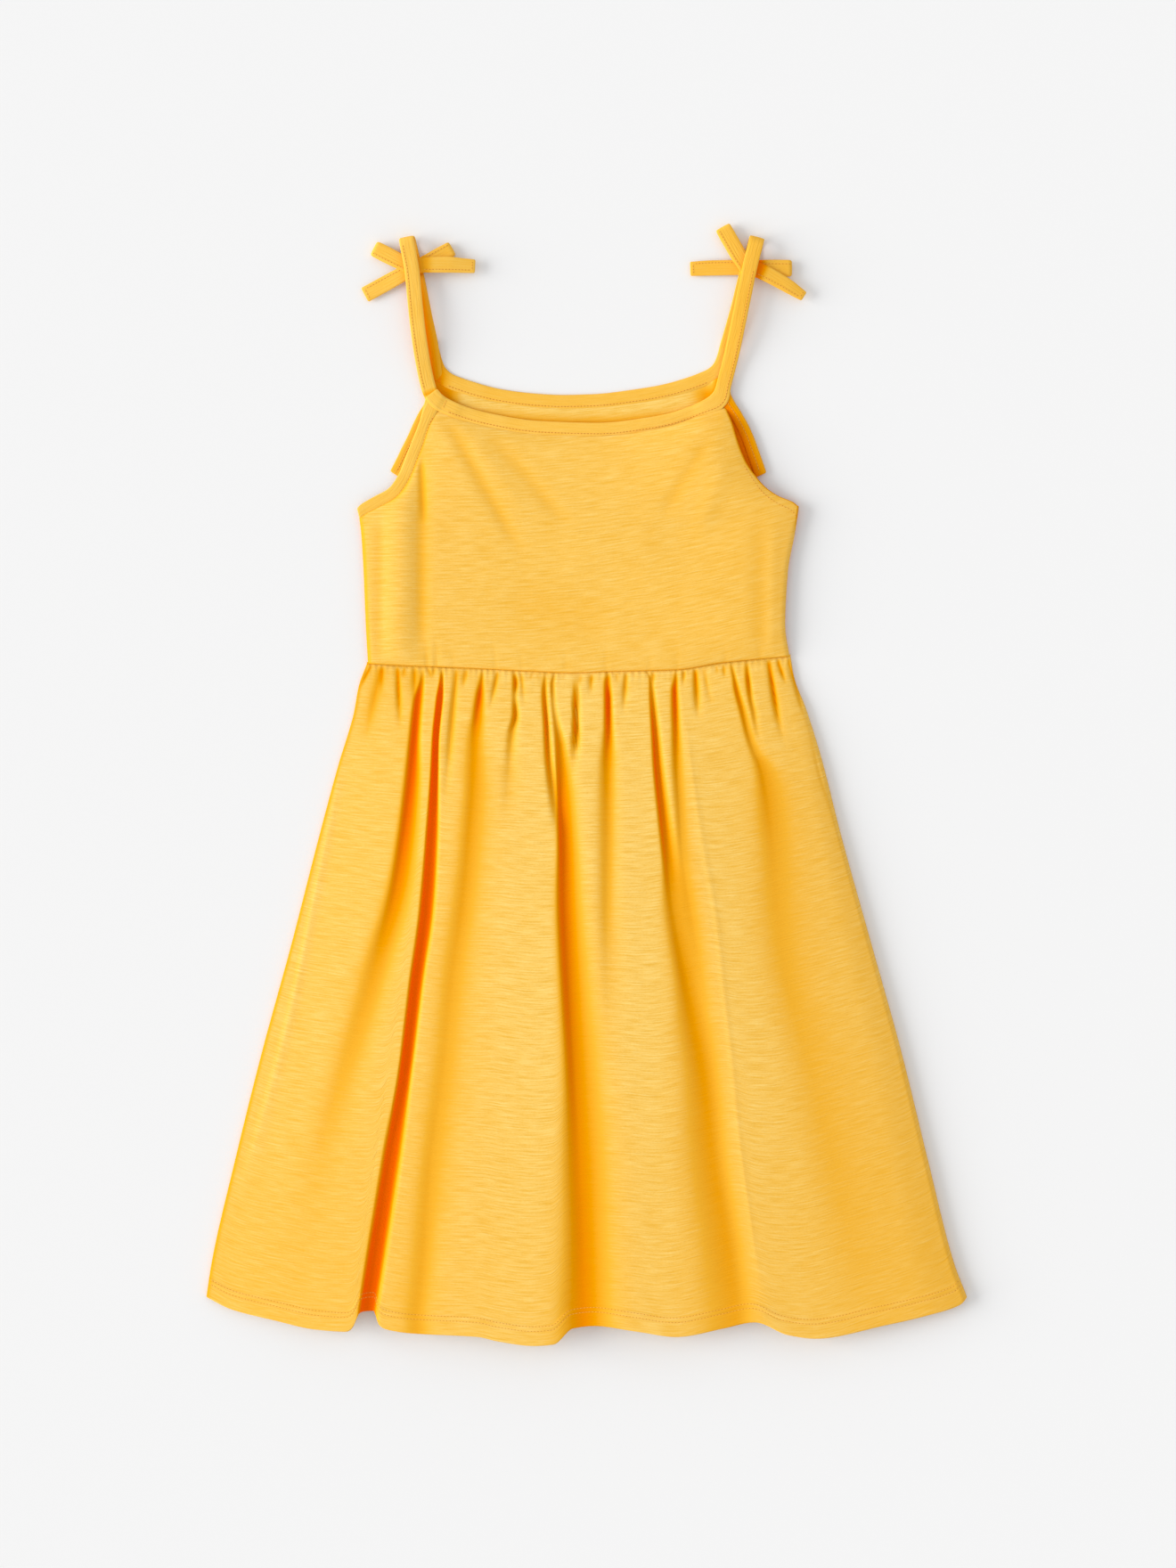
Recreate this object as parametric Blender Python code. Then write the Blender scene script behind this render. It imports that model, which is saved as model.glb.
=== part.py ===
"""A child's tie-strap sundress in jersey, laid flat on its back.

Lengths are in millimetres until a mesh is made. x runs across the dress from
its centre line, y runs up from the waist seam towards the straps, and z runs
up from the surface that the dress lies on. The back panels lie on that
surface, the front panels lie on them, and left is the side of lower x.
"""
from collections import namedtuple

import bpy
import numpy as np

# ---------------------------------------------------------------- sizes

MM = 0.001
CLOTH = 1.0            # wall of one layer of jersey
BAND = 1.8             # bindings and straps: four layers pressed flat
GAP = 0.3              # clearance between neighbouring pieces
SEAM = 0.5             # gap drawn at a curved seam, whose facets then stay GAP apart
STRAP_WIDTH = 10.0

BACK_TOP = CLOTH                       # upper side of the back panels
SKIRT_FLOOR = BACK_TOP + GAP           # underside of the front skirt where it touches down
FRONT_UNDERSIDE = BAND + 2 * GAP       # underside of the front bodice over the back bindings
FRONT_TOP = FRONT_UNDERSIDE + CLOTH

BODICE_PUFF = 3.0      # how far the middle of the front bodice stands up
SIDE_ROLL = 8.0        # width over which the bodice rolls down to its side seams
SKIRT_ROLL = 16.0      # the same at the sides of the skirt
BACK_COLUMNS = 17      # columns of both back panels, so that their seam runs even
FOLD_RISE = 0.035      # share of the skirt's length in which a fold reaches its depth
FOLD_FADE = 0.1        # the same where a fold that stops short of the hem dies away
UNDERARM_Y = 80.0      # above this height the front bodice's sides stop rolling down
UNDERARM_FADE = 30.0   # over this distance

FRONT_BODICE_COLUMNS = 19
SKIRT_COLUMNS = 56
SKIRT_ROWS = 22
SEARCH = 500           # places tried across the skirt when its columns are shared out
FOLD_PULL = 3.5        # how much closer the columns stand in a fold
SIDE_PULL = 4.0        # and at the skirt's sides

# The middle of the dress as it lies, which becomes the origin.
MIDDLE_X = 5.1
MIDDLE_Y = -80.5

# ---------------------------------------------------------------- tables

Point = namedtuple("Point", "x y")
Edges = namedtuple("Edges", "outer_x outer_y inner_x inner_y")
SkirtSide = namedtuple("SkirtSide", "down left right")
Height = namedtuple("Height", "down rise")
Fold = namedtuple("Fold", "name x_top x_mid x_low start end depth_top depth_low "
                          "left_top left_low right_top right_low square")
Leaf = namedtuple("Leaf", "x y z width thickness")

# The waist seam, from side to side.
WAIST = [Point(-142.0, 0.0), Point(-114.5, -1.5), Point(-67.0, -3.5), Point(-28.0, -5.5),
         Point(-6.0, -6.3), Point(21.0, -5.5), Point(66.0, -4.2), Point(95.0, 0.3),
         Point(141.5, 5.0)]

# The side seams of the bodice, from the waist to just under the arm.
SIDE_LEFT = [Point(-142.0, 0.0), Point(-143.5, 27.0), Point(-145.0, 63.0), Point(-146.5, 87.0)]
SIDE_RIGHT = [Point(141.5, 5.0), Point(138.5, 27.0), Point(140.5, 63.0), Point(145.0, 87.0)]

# The armhole bands: outer edge and inner seam, from the neck to the underarm.
FRONT_ARM_LEFT = [
    Edges(-105.2, 181.8, -95.6, 184.4), Edges(-103.2, 178.2, -90.2, 179.6),
    Edges(-105.0, 171.6, -95.2, 169.4), Edges(-107.4, 162.6, -100.2, 160.2),
    Edges(-112.8, 148.8, -105.0, 145.8), Edges(-117.0, 138.0, -109.2, 135.0),
    Edges(-122.4, 125.4, -114.8, 121.8), Edges(-128.4, 117.6, -123.0, 111.0),
    Edges(-138.0, 112.2, -134.4, 104.4), Edges(-147.0, 106.8, -144.6, 99.0),
    Edges(-149.4, 104.4, -147.4, 96.6)]
FRONT_ARM_RIGHT = [
    Edges(98.7, 171.9, 92.2, 168.8), Edges(102.6, 162.0, 95.2, 159.0),
    Edges(106.8, 148.2, 99.2, 145.4), Edges(112.2, 135.0, 105.0, 131.0),
    Edges(119.4, 124.8, 113.8, 119.0), Edges(125.4, 118.2, 120.8, 111.0),
    Edges(134.4, 112.2, 131.0, 104.4), Edges(144.0, 108.3, 141.0, 100.4),
    Edges(147.6, 105.0, 145.8, 96.8)]
BACK_ARM_LEFT = [
    Edges(-101.4, 182.4, -90.0, 182.4), Edges(-103.8, 176.4, -95.4, 172.2),
    Edges(-108.0, 168.9, -100.2, 165.0), Edges(-111.6, 161.6, -103.8, 158.4),
    Edges(-115.2, 153.6, -107.8, 150.4), Edges(-119.2, 145.6, -112.0, 142.2),
    Edges(-123.6, 136.5, -116.4, 133.2), Edges(-127.2, 129.6, -120.0, 124.8)]
BACK_ARM_RIGHT = [
    Edges(101.1, 182.8, 90.6, 182.8), Edges(103.8, 177.6, 94.8, 174.0),
    Edges(108.6, 169.8, 101.4, 166.2), Edges(113.4, 161.4, 106.2, 157.8),
    Edges(117.3, 153.0, 109.8, 150.0), Edges(120.6, 144.0, 112.8, 141.0),
    Edges(123.6, 135.6, 115.8, 132.6), Edges(126.0, 128.4, 118.2, 124.8)]

# The back panel runs on under the front armholes, a little inside them.
BACK_UNDERARM_LEFT = [Point(-148.0, 99.0), Point(-145.0, 104.0), Point(-135.6, 110.1),
                      Point(-125.4, 115.8), Point(-119.6, 121.6)]
BACK_UNDERARM_RIGHT = [Point(146.4, 99.0), Point(143.0, 104.6), Point(134.0, 109.5),
                       Point(124.6, 114.9), Point(118.2, 121.4)]

# The neck bindings: upper edge and lower seam, from left to right.
FRONT_NECK = [
    Edges(-89.7, 179.1, -94.4, 169.6), Edges(-76.5, 173.0, -79.5, 163.8),
    Edges(-55.6, 167.5, -57.4, 158.1), Edges(-26.1, 163.2, -26.9, 153.6),
    Edges(12.9, 162.0, 13.1, 152.4), Edges(42.3, 165.0, 43.7, 155.4),
    Edges(61.7, 168.7, 64.3, 159.5), Edges(79.0, 174.9, 83.0, 166.3),
    Edges(86.6, 179.0, 96.4, 171.5), Edges(90.6, 183.0, 101.0, 178.4),
    Edges(92.2, 187.1, 101.9, 184.7)]
BACK_NECK = [
    Edges(-90.3, 197.3, -88.3, 187.0), Edges(-68.5, 188.6, -71.5, 179.4),
    Edges(-54.1, 185.1, -55.9, 175.7), Edges(-32.5, 182.1, -33.5, 172.5),
    Edges(-10.9, 180.9, -11.1, 171.3), Edges(10.7, 181.5, 11.3, 171.9),
    Edges(32.4, 183.9, 33.6, 174.3), Edges(54.0, 187.4, 56.0, 178.0),
    Edges(68.6, 191.2, 71.4, 182.0), Edges(90.4, 199.2, 88.8, 188.6)]

# The sides of the skirt, by the share of its length below the waist seam.
SKIRT_SIDES = [
    SkirtSide(0.000, -142.8, 142.2), SkirtSide(0.035, -148.2, 145.0),
    SkirtSide(0.080, -151.8, 152.4), SkirtSide(0.160, -162.0, 163.2),
    SkirtSide(0.275, -175.2, 175.8), SkirtSide(0.445, -193.8, 196.2),
    SkirtSide(0.615, -213.6, 216.6), SkirtSide(0.785, -231.6, 234.6),
    SkirtSide(0.945, -247.2, 252.0), SkirtSide(1.000, -250.8, 261.0)]

# The lower edge of the front skirt, which dips at each ridge.
HEM = [Point(-250.8, -426.0), Point(-234.0, -434.0), Point(-205.0, -441.0),
       Point(-176.0, -447.0), Point(-156.0, -448.2), Point(-148.5, -436.5),
       Point(-140.5, -435.0), Point(-133.5, -444.5), Point(-111.5, -449.0),
       Point(-68.0, -451.0), Point(-54.0, -454.0), Point(-30.0, -457.0),
       Point(-17.0, -456.0), Point(-4.0, -445.5), Point(11.0, -444.0),
       Point(39.5, -447.5), Point(65.0, -451.0), Point(97.0, -445.5),
       Point(118.0, -441.5), Point(140.0, -450.0), Point(158.5, -452.5),
       Point(205.0, -444.0), Point(234.0, -437.5), Point(255.5, -431.0),
       Point(261.0, -426.0)]
BACK_HEM = [Point(-250.0, -425.0), Point(-200.0, -429.5), Point(-142.0, -433.5),
            Point(0.0, -438.5), Point(118.0, -437.0), Point(200.0, -432.0),
            Point(260.2, -425.2)]

# How far the ridges of the front skirt stand above its valleys.
RIDGES = [Height(0.0, FRONT_TOP - SKIRT_FLOOR - CLOTH), Height(0.04, 6.0), Height(0.15, 10.0),
          Height(0.40, 13.5), Height(1.0, 15.5)]

# The folds of the front skirt: the valley's x at the waist, half way and at
# the hem, where it starts and ends down the skirt, its depth as a share of
# the ridges, its half widths to left and right, and how square its floor is.
FOLDS = [
    Fold("left_deep", -106, -142, -210, 0.01, 0.72, 1.00, 0.0, 3, 13, 5, 9, 2.5),
    Fold("left_open", -93, -111, -141, 0.01, 1.01, 1.00, 1.0, 3, 5, 3, 5, 5.0),
    Fold("left_open_shoulder", -97, -119, -150, 0.25, 1.01, 0.15, 0.5, 6, 14, 4, 6, 2.5),
    Fold("left_soft", -66, -89, -108, 0.01, 1.01, 0.70, 0.3, 3, 13, 3, 17, 2.0),
    Fold("gather_left", -43, -60, -60, 0.01, 0.30, 0.70, 0.1, 2, 6, 2, 6, 2.0),
    Fold("centre_gather", -23, -8, 0, 0.01, 0.27, 0.70, 0.3, 2, 3, 2, 3, 2.0),
    Fold("centre_deep", -17, -8, 2, 0.01, 1.01, 0.75, 0.6, 3, 14, 4, 27, 2.5),
    Fold("centre_right", 20, 18, 18, 0.01, 0.55, 0.90, 0.2, 3, 9, 3, 9, 2.2),
    Fold("right_deep", 46, 73, 99, 0.01, 1.01, 0.85, 0.35, 3, 24, 5, 14, 2.3),
    Fold("right_twin", 63, 73, 95, 0.01, 0.33, 0.85, 0.3, 3, 5, 3, 5, 2.2),
    Fold("right_soft", 103, 141, 192, 0.01, 1.01, 0.60, 0.15, 4, 20, 5, 22, 2.0),
    Fold("gather_right", 128, 140, 150, 0.01, 0.16, 0.45, 0.1, 3, 5, 3, 5, 2.0)]

# The straps' middle lines from the back corner up to the top, and down to the front.
STRAP_LEFT_BACK = [Point(-93.4, 184.6), Point(-95.8, 197.4), Point(-99.8, 213.6),
                   Point(-104.4, 233.6), Point(-109.6, 258.6), Point(-114.6, 281.6)]
STRAP_LEFT_FRONT = [Point(-115.4, 281.6), Point(-112.0, 262.8), Point(-109.8, 240.0),
                    Point(-107.4, 219.0), Point(-104.4, 200.0), Point(-101.0, 185.2)]
STRAP_RIGHT_BACK = [Point(93.6, 184.6), Point(95.8, 197.4), Point(102.0, 219.0),
                    Point(107.4, 240.0), Point(112.8, 262.8), Point(118.6, 281.6)]
STRAP_RIGHT_FRONT = [Point(118.6, 281.6), Point(114.6, 265.8), Point(110.6, 246.6),
                     Point(106.8, 228.0), Point(102.8, 208.8), Point(97.2, 186.4)]

# Heights of a strap's middle, lying behind and passing over the bow in front.
STRAP_BACK_Z = BAND / 2
STRAP_OVER_BOW_Z = 8.6
STRAP_FRONT_Z = FRONT_UNDERSIDE + BAND / 2

# The bows: a knot each, and four leaves that run out from it. A loop is a
# ribbon folded back on itself, so it is thicker than a tail.
KNOT_LENGTH = 13.0
KNOT_WIDTH = 12.0
KNOT_HEIGHT = 5.0
KNOT_Z = BAND + GAP + KNOT_HEIGHT / 2
KNOT_LEFT = Point(-112.4, 266.0)
KNOT_RIGHT = Point(114.0, 266.0)
LOOP = 4.2
LEAVES_LEFT = {
    "loop_out": [Leaf(-113.0, 266.6, 4.6, 9.6, 2.6), Leaf(-121.8, 271.0, 4.2, 10.2, LOOP),
                 Leaf(-131.0, 275.6, 3.4, 10.4, LOOP), Leaf(-138.8, 279.4, 2.6, 10.2, 2.8)],
    "tail_out": [Leaf(-113.0, 265.2, 4.0, 9.8, BAND), Leaf(-121.6, 261.0, 3.2, 10.4, BAND),
                 Leaf(-133.0, 254.4, 1.9, 10.4, BAND), Leaf(-144.4, 247.9, 1.1, 10.6, BAND)],
    "loop_in": [Leaf(-111.4, 265.6, 4.4, 9.6, 2.6), Leaf(-101.4, 270.2, 3.6, 10.2, 3.4),
                Leaf(-93.0, 274.8, 2.2, 10.4, 3.4), Leaf(-84.6, 279.2, 1.8, 10.0, 2.6)],
    "tail_in": [Leaf(-111.4, 267.0, 5.6, 9.8, BAND), Leaf(-103.0, 267.4, 5.4, 10.4, BAND),
                Leaf(-88.0, 267.2, 4.8, 10.4, BAND), Leaf(-70.0, 267.0, 2.4, 9.6, BAND)]}
LEAVES_RIGHT = {
    "loop_up": [Leaf(113.4, 264.6, 4.6, 9.6, 2.6), Leaf(106.6, 276.2, 4.0, 10.8, LOOP),
                Leaf(101.4, 284.8, 3.2, 10.8, LOOP), Leaf(96.2, 293.0, 2.4, 10.6, 2.8)],
    "tail_in": [Leaf(113.0, 266.4, 5.0, 9.6, BAND), Leaf(104.0, 266.4, 4.6, 10.4, BAND),
                Leaf(90.0, 266.2, 2.8, 10.4, BAND), Leaf(74.4, 266.0, 1.2, 10.0, BAND)],
    "loop_out": [Leaf(114.4, 266.2, 4.2, 9.8, 2.6), Leaf(122.4, 266.0, 4.2, 11.0, 3.4),
                 Leaf(133.0, 266.0, 2.2, 11.4, 3.4), Leaf(143.0, 266.0, 1.8, 10.8, 2.6)],
    "tail_out": [Leaf(114.4, 265.8, 5.4, 9.8, BAND), Leaf(122.0, 263.4, 5.4, 10.6, BAND),
                 Leaf(135.6, 256.6, 4.8, 9.4, BAND), Leaf(151.2, 246.4, 1.5, 7.2, BAND)]}

# ---------------------------------------------------------------- materials


def cloth_material(name, colour, roughness):
    """A plain dyed cloth."""
    material = bpy.data.materials.new(name)
    material.use_nodes = True
    shader = material.node_tree.nodes["Principled BSDF"]
    shader.inputs["Base Color"].default_value = (*colour, 1.0)
    shader.inputs["Roughness"].default_value = roughness
    shader.inputs["Metallic"].default_value = 0.0
    return material


# ---------------------------------------------------------------- curves


def column(rows, name):
    """One named column of a table as an array."""
    return np.array([getattr(row, name) for row in rows], float)


def smooth(at, knots, values):
    """A curve through the knots that never overshoots them.

    Each span is a cubic whose end slopes are the harmonic means of the
    slopes of the spans on either side, or level where those differ in sign.
    """
    at, knots, values = (np.asarray(a, float) for a in (at, knots, values))
    step = np.diff(knots)
    slope = np.diff(values) / step
    same = slope[:-1] * slope[1:] > 0
    total = np.where(same, slope[:-1] + slope[1:], 1.0)
    inner = np.where(same, 2 * slope[:-1] * slope[1:] / total, 0.0)
    tangent = np.concatenate([slope[:1], inner, slope[-1:]])
    span = np.clip(np.searchsorted(knots, at) - 1, 0, len(step) - 1)
    t = np.clip((at - knots[span]) / step[span], 0, 1)
    rise = 3 * t**2 - 2 * t**3
    out = t * (1 - t) ** 2 * tangent[span] * step[span]
    back = t**2 * (t - 1) * tangent[span + 1] * step[span]
    return values[span] * (1 - rise) + values[span + 1] * rise + out + back


def ease(t):
    """0 before 0, 1 after 1, and a smooth step between them."""
    t = np.clip(t, 0, 1)
    return t * t * (3 - 2 * t)


def roll_down(distance, reach):
    """The quarter round by which a sheet rolls down to its edge: 0 at the edge, 1 past reach."""
    t = np.clip(distance / reach, 0, 1)
    return np.sqrt(1 - (1 - t) ** 2)


def along(points, count):
    """Evenly spaced places on the smooth path through the points, all their columns."""
    table = np.array(points, float)
    step = np.linalg.norm(np.diff(table[:, :2], axis=0), axis=1)
    length = np.concatenate([[0], np.cumsum(step)])
    at = np.linspace(0, length[-1], count)
    return np.stack([smooth(at, length, table[:, k]) for k in range(table.shape[1])], axis=1)


def headings(path):
    """The direction of a path at each of its places."""
    ahead = np.gradient(path, axis=0)
    return ahead / np.linalg.norm(ahead, axis=1, keepdims=True)


# ---------------------------------------------------------------- solids


def solid(name, vertices, faces, material):
    """A closed body in its own named object, moved to the origin and into metres."""
    placed = (np.asarray(vertices, float) - [MIDDLE_X, MIDDLE_Y, 0.0]) * MM
    mesh = bpy.data.meshes.new(name)
    mesh.from_pydata(placed.tolist(), [], faces)
    mesh.materials.append(material)
    mesh.shade_smooth()
    body = bpy.data.objects.new(name, mesh)
    bpy.context.scene.collection.objects.link(body)
    return body


def sheet(name, top, under, material):
    """A closed wall between two grids of rows down and columns across, upper side first."""
    rows, columns = top.shape[:2]
    index = np.arange(rows * columns).reshape(rows, columns)
    below = index + rows * columns
    faces = []

    def strip(first, second, across, down):
        faces.extend(np.stack([first, second, across, down], axis=-1).reshape(-1, 4).tolist())

    strip(index[:-1, :-1], index[1:, :-1], index[1:, 1:], index[:-1, 1:])
    strip(below[:-1, :-1], below[:-1, 1:], below[1:, 1:], below[1:, :-1])
    strip(index[0, :-1], index[0, 1:], below[0, 1:], below[0, :-1])
    strip(index[-1, 1:], index[-1, :-1], below[-1, :-1], below[-1, 1:])
    strip(index[1:, 0], index[:-1, 0], below[:-1, 0], below[1:, 0])
    strip(index[:-1, -1], index[1:, -1], below[1:, -1], below[:-1, -1])
    vertices = np.concatenate([top.reshape(-1, 3), under.reshape(-1, 3)])
    return solid(name, vertices, faces, material)


def underside(top, thickness):
    """The grid that lies a wall's thickness under a grid, square to it."""
    normal = np.cross(np.gradient(top, axis=0), np.gradient(top, axis=1))
    normal /= np.linalg.norm(normal, axis=2, keepdims=True)
    return top - thickness * normal


def plate(name, flat, low, high, material):
    """A flat wall over a grid of x and y, between two heights."""
    top = np.dstack([flat, np.full(flat.shape[:2], high)])
    under = np.dstack([flat, np.full(flat.shape[:2], low)])
    return sheet(name, top, under, material)


def ribbon(name, middle, across, width, thickness, material):
    """A strip carried along a path, with its width along the given directions."""
    up = np.cross(across, headings(middle))
    up /= np.linalg.norm(up, axis=1, keepdims=True)
    half = across * np.reshape(width, (-1, 1)) / 2
    lift = up * np.reshape(thickness, (-1, 1)) / 2
    top = np.stack([middle + half + lift, middle - half + lift], axis=1)
    under = np.stack([middle + half - lift, middle - half - lift], axis=1)
    return sheet(name, top, under, material)


# ---------------------------------------------------------------- bodice


def band_edges(rows):
    """The outer and inner edges of a band, with a place between each two rows of its table."""
    table = np.array(rows, float)
    knots = np.arange(len(rows))
    at = np.linspace(0, len(rows) - 1, 2 * len(rows) - 1)
    both = np.stack([smooth(at, knots, table[:, k]) for k in range(4)], axis=1)
    return both[:, :2], both[:, 2:]


def band_seam(rows):
    """The edge of the panel that a band is sewn to, a seam's gap inside the band."""
    outer, inner = band_edges(rows)
    inward = inner - outer
    return inner + SEAM * inward / np.linalg.norm(inward, axis=1, keepdims=True)


def band(name, rows, low, material):
    """A folded strip along a neck or an armhole."""
    outer, inner = band_edges(rows)
    if abs(outer[-1, 0] - outer[0, 0]) > abs(outer[-1, 1] - outer[0, 1]):
        flat = np.stack([outer, inner])
    elif outer[0, 0] < 0:
        flat = np.stack([outer, inner], axis=1)
    else:
        flat = np.stack([inner, outer], axis=1)
    return plate(name, flat, low, low + BAND, material)


def panel_side(side, underarm, arm):
    """One side of a bodice panel from the waist up: side seam, underarm and band seam."""
    hidden = np.array(underarm, float).reshape(-1, 2)
    return np.concatenate([np.array(side, float), hidden, band_seam(arm)[::-1]])


def bodice_grid(left, right, neck_seam, columns):
    """Rows from the neck seam down to the waist seam.

    A row runs from side to side and bends by a mix of the waist's bend and
    the neck's, in the share of its height between them.
    """
    u = np.linspace(0, 1, columns)
    height = (left[:, 1] - left[0, 1]) / (left[-1, 1] - left[0, 1])

    def bend(curve):
        x = curve[0, 0] + u * (curve[-1, 0] - curve[0, 0])
        chord = curve[0, 1] + u * (curve[-1, 1] - curve[0, 1])
        return smooth(x, curve[:, 0], curve[:, 1]) - chord

    low, high = bend(np.array(WAIST, float)), bend(neck_seam)
    x = left[:, :1] + u * (right[:, :1] - left[:, :1])
    y = left[:, 1:] + u * (right[:, 1:] - left[:, 1:])
    y = y + (1 - height[:, None]) * low + height[:, None] * high
    return np.dstack([x, y])[::-1]


def neck_seam(rows, left_end, right_end):
    """The panel's edge along a neck binding, from corner to corner."""
    path = band_seam(rows)
    inside = (path[:, 0] > left_end[0] + 1) & (path[:, 0] < right_end[0] - 1)
    return np.concatenate([[left_end], path[inside], [right_end]])


def front_bodice(material):
    """The front panel: a low swell in the middle that rolls down to the side seams."""
    left = panel_side(SIDE_LEFT, [], FRONT_ARM_LEFT[2:])
    right = panel_side(SIDE_RIGHT, [], FRONT_ARM_RIGHT)
    flat = bodice_grid(left, right, neck_seam(FRONT_NECK, left[-1], right[-1]),
                       FRONT_BODICE_COLUMNS)
    x, y = flat[..., 0], flat[..., 1]
    share = np.linspace(1, 0, flat.shape[0])[:, None]
    across = 2 * (x - x[:, :1]) / (x[:, -1:] - x[:, :1]) - 1
    swell = BODICE_PUFF * (1 - np.abs(across) ** 4) * (4 * share * (1 - share)) ** 0.7
    inset = np.minimum(x - x[:, :1], x[:, -1:] - x)
    side = 1 - ease((y - UNDERARM_Y) / UNDERARM_FADE)
    drop = side * (1 - roll_down(inset, SIDE_ROLL)) * (FRONT_UNDERSIDE - SKIRT_FLOOR)
    top = np.dstack([x, y, FRONT_TOP + swell - drop])
    return sheet("front_bodice", top, underside(top, CLOTH), material)


def back_bodice(material):
    """The back panel, flat on the surface."""
    left = panel_side(SIDE_LEFT, BACK_UNDERARM_LEFT, BACK_ARM_LEFT)
    right = panel_side(SIDE_RIGHT, BACK_UNDERARM_RIGHT, BACK_ARM_RIGHT)
    flat = bodice_grid(left, right, neck_seam(BACK_NECK, left[-1], right[-1]), BACK_COLUMNS)
    return plate("back_bodice", flat, 0.0, BACK_TOP, material)


# ---------------------------------------------------------------- skirt


def skirt_sides(down):
    """The skirt's left and right edges at each share of its length."""
    knots = column(SKIRT_SIDES, "down")
    return (smooth(down, knots, column(SKIRT_SIDES, "left")),
            smooth(down, knots, column(SKIRT_SIDES, "right")))


def fold_line(fold, down):
    """Where a fold's valley lies: a quadratic through its three given places."""
    return (fold.x_top * (1 - down) * (1 - 2 * down) + fold.x_mid * 4 * down * (1 - down)
            + fold.x_low * down * (2 * down - 1))


def fold_size(fold, down):
    """A fold's depth and half widths at each share of the length."""
    share = np.clip((down - fold.start) / (fold.end - fold.start), 0, 1)
    depth = fold.depth_top + (fold.depth_low - fold.depth_top) * share
    depth = depth * ease((down - fold.start) / FOLD_RISE)
    if fold.end < 1:
        depth = depth * (1 - ease((down - fold.end + FOLD_FADE) / FOLD_FADE))
    left = fold.left_top + (fold.left_low - fold.left_top) * share
    right = fold.right_top + (fold.right_low - fold.right_top) * share
    return depth, left, right


def skirt_columns(down, count):
    """Places across the skirt, drawn together where a fold turns."""
    left, right = skirt_sides(down)
    u = np.linspace(0, 1, SEARCH)
    x = left + (right - left) * u
    inset = np.minimum(x - left, right - x)
    pull = 1 + SIDE_PULL * np.exp(-3 * inset / SKIRT_ROLL)
    for fold in FOLDS:
        depth, left_half, right_half = fold_size(fold, down)
        reach = 1.6 * (left_half + right_half)
        pull += FOLD_PULL * depth / (1 + ((x - fold_line(fold, down)) / reach) ** 2)
    share = np.concatenate([[0], np.cumsum((pull[1:] + pull[:-1]) / 2)])
    return np.interp(np.linspace(0, 1, count), share / share[-1], x)


def skirt_height(x, down, left, right):
    """The front skirt's upper side: ridges that fall to the floor in each fold and at the sides."""
    rise = smooth(down, column(RIDGES, "down"), column(RIDGES, "rise"))
    reach = SKIRT_ROLL * (0.4 + 0.6 * ease(down / 0.15))
    rise = rise * roll_down(np.minimum(x - left, right - x), reach)
    for fold in FOLDS:
        depth, left_half, right_half = fold_size(fold, down)
        offset = x - fold_line(fold, down)
        half = np.where(offset < 0, left_half, right_half)
        rise = rise * (1 - depth * np.exp(-np.abs(offset / half) ** fold.square))
    return SKIRT_FLOOR + CLOTH + rise


def skirt_flat(down, x, hem):
    """The y of a place: between the waist seam and the hem below it, as the skirt flares."""
    left, right = skirt_sides(down)
    share = (x - left) / (right - left)
    waist, edge = np.array(WAIST, float), np.array(hem, float)
    waist_x = waist[0, 0] + share * (waist[-1, 0] - waist[0, 0])
    hem_x = edge[0, 0] + share * (edge[-1, 0] - edge[0, 0])
    top = smooth(waist_x, waist[:, 0], waist[:, 1]) - SEAM
    low = smooth(hem_x, edge[:, 0], edge[:, 1])
    return top + down * (low - top)


def front_skirt(material):
    """The front skirt: one wall that falls into folds from the gathered waist seam."""
    even = np.linspace(0, 1, SKIRT_ROWS)
    downs = 0.45 * even + 0.55 * even**1.8      # closer together near the waist
    rows = []
    for down in downs:
        x = skirt_columns(down, SKIRT_COLUMNS)
        left, right = skirt_sides(down)
        height = skirt_height(x, down, left, right)
        rows.append(np.stack([x, skirt_flat(down, x, HEM), height], axis=1))
    top = np.array(rows)
    return sheet("front_skirt", top, underside(top, CLOTH), material)


def back_skirt(material):
    """The back skirt, flat on the surface."""
    downs = np.linspace(0, 1, 9)
    rows = []
    for down in downs:
        left, right = skirt_sides(down)
        x = np.linspace(left + GAP, right - GAP, BACK_COLUMNS)
        rows.append(np.stack([x, skirt_flat(down, x, BACK_HEM)], axis=1))
    return plate("back_skirt", np.array(rows), 0.0, BACK_TOP, material)


# ---------------------------------------------------------------- straps and bows


def strap(name, back, front, material):
    """A strip that lies behind, turns over at the top and comes down over the bow."""
    rear, face = along(back, 9), along(front, 12)
    radius = (STRAP_OVER_BOW_Z - STRAP_BACK_Z) / 2
    rise = headings(rear)[-1]
    turn = np.linspace(-0.5, 0.5, 9)[1:-1] * np.pi
    share = (1 + np.sin(turn)) / 2
    top = rear[-1] + share[:, None] * (face[0] - rear[-1])
    top = top + radius * np.cos(turn)[:, None] * rise
    top_z = (STRAP_BACK_Z + STRAP_OVER_BOW_Z) / 2 + radius * np.sin(turn)
    fall = ease((np.linspace(0, 1, len(face)) - 0.22) / 0.75)
    face_z = STRAP_OVER_BOW_Z + fall * (STRAP_FRONT_Z - STRAP_OVER_BOW_Z)
    middle = np.concatenate([
        np.column_stack([rear, np.full(len(rear), STRAP_BACK_Z)]),
        np.column_stack([top, top_z]),
        np.column_stack([face, face_z])])
    ahead = np.concatenate([headings(rear), np.tile(rise, (len(top), 1)), -headings(face)])
    across = np.column_stack([-ahead[:, 1], ahead[:, 0], np.zeros(len(ahead))])
    return ribbon(name, middle, across, STRAP_WIDTH, BAND, material)


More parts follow.
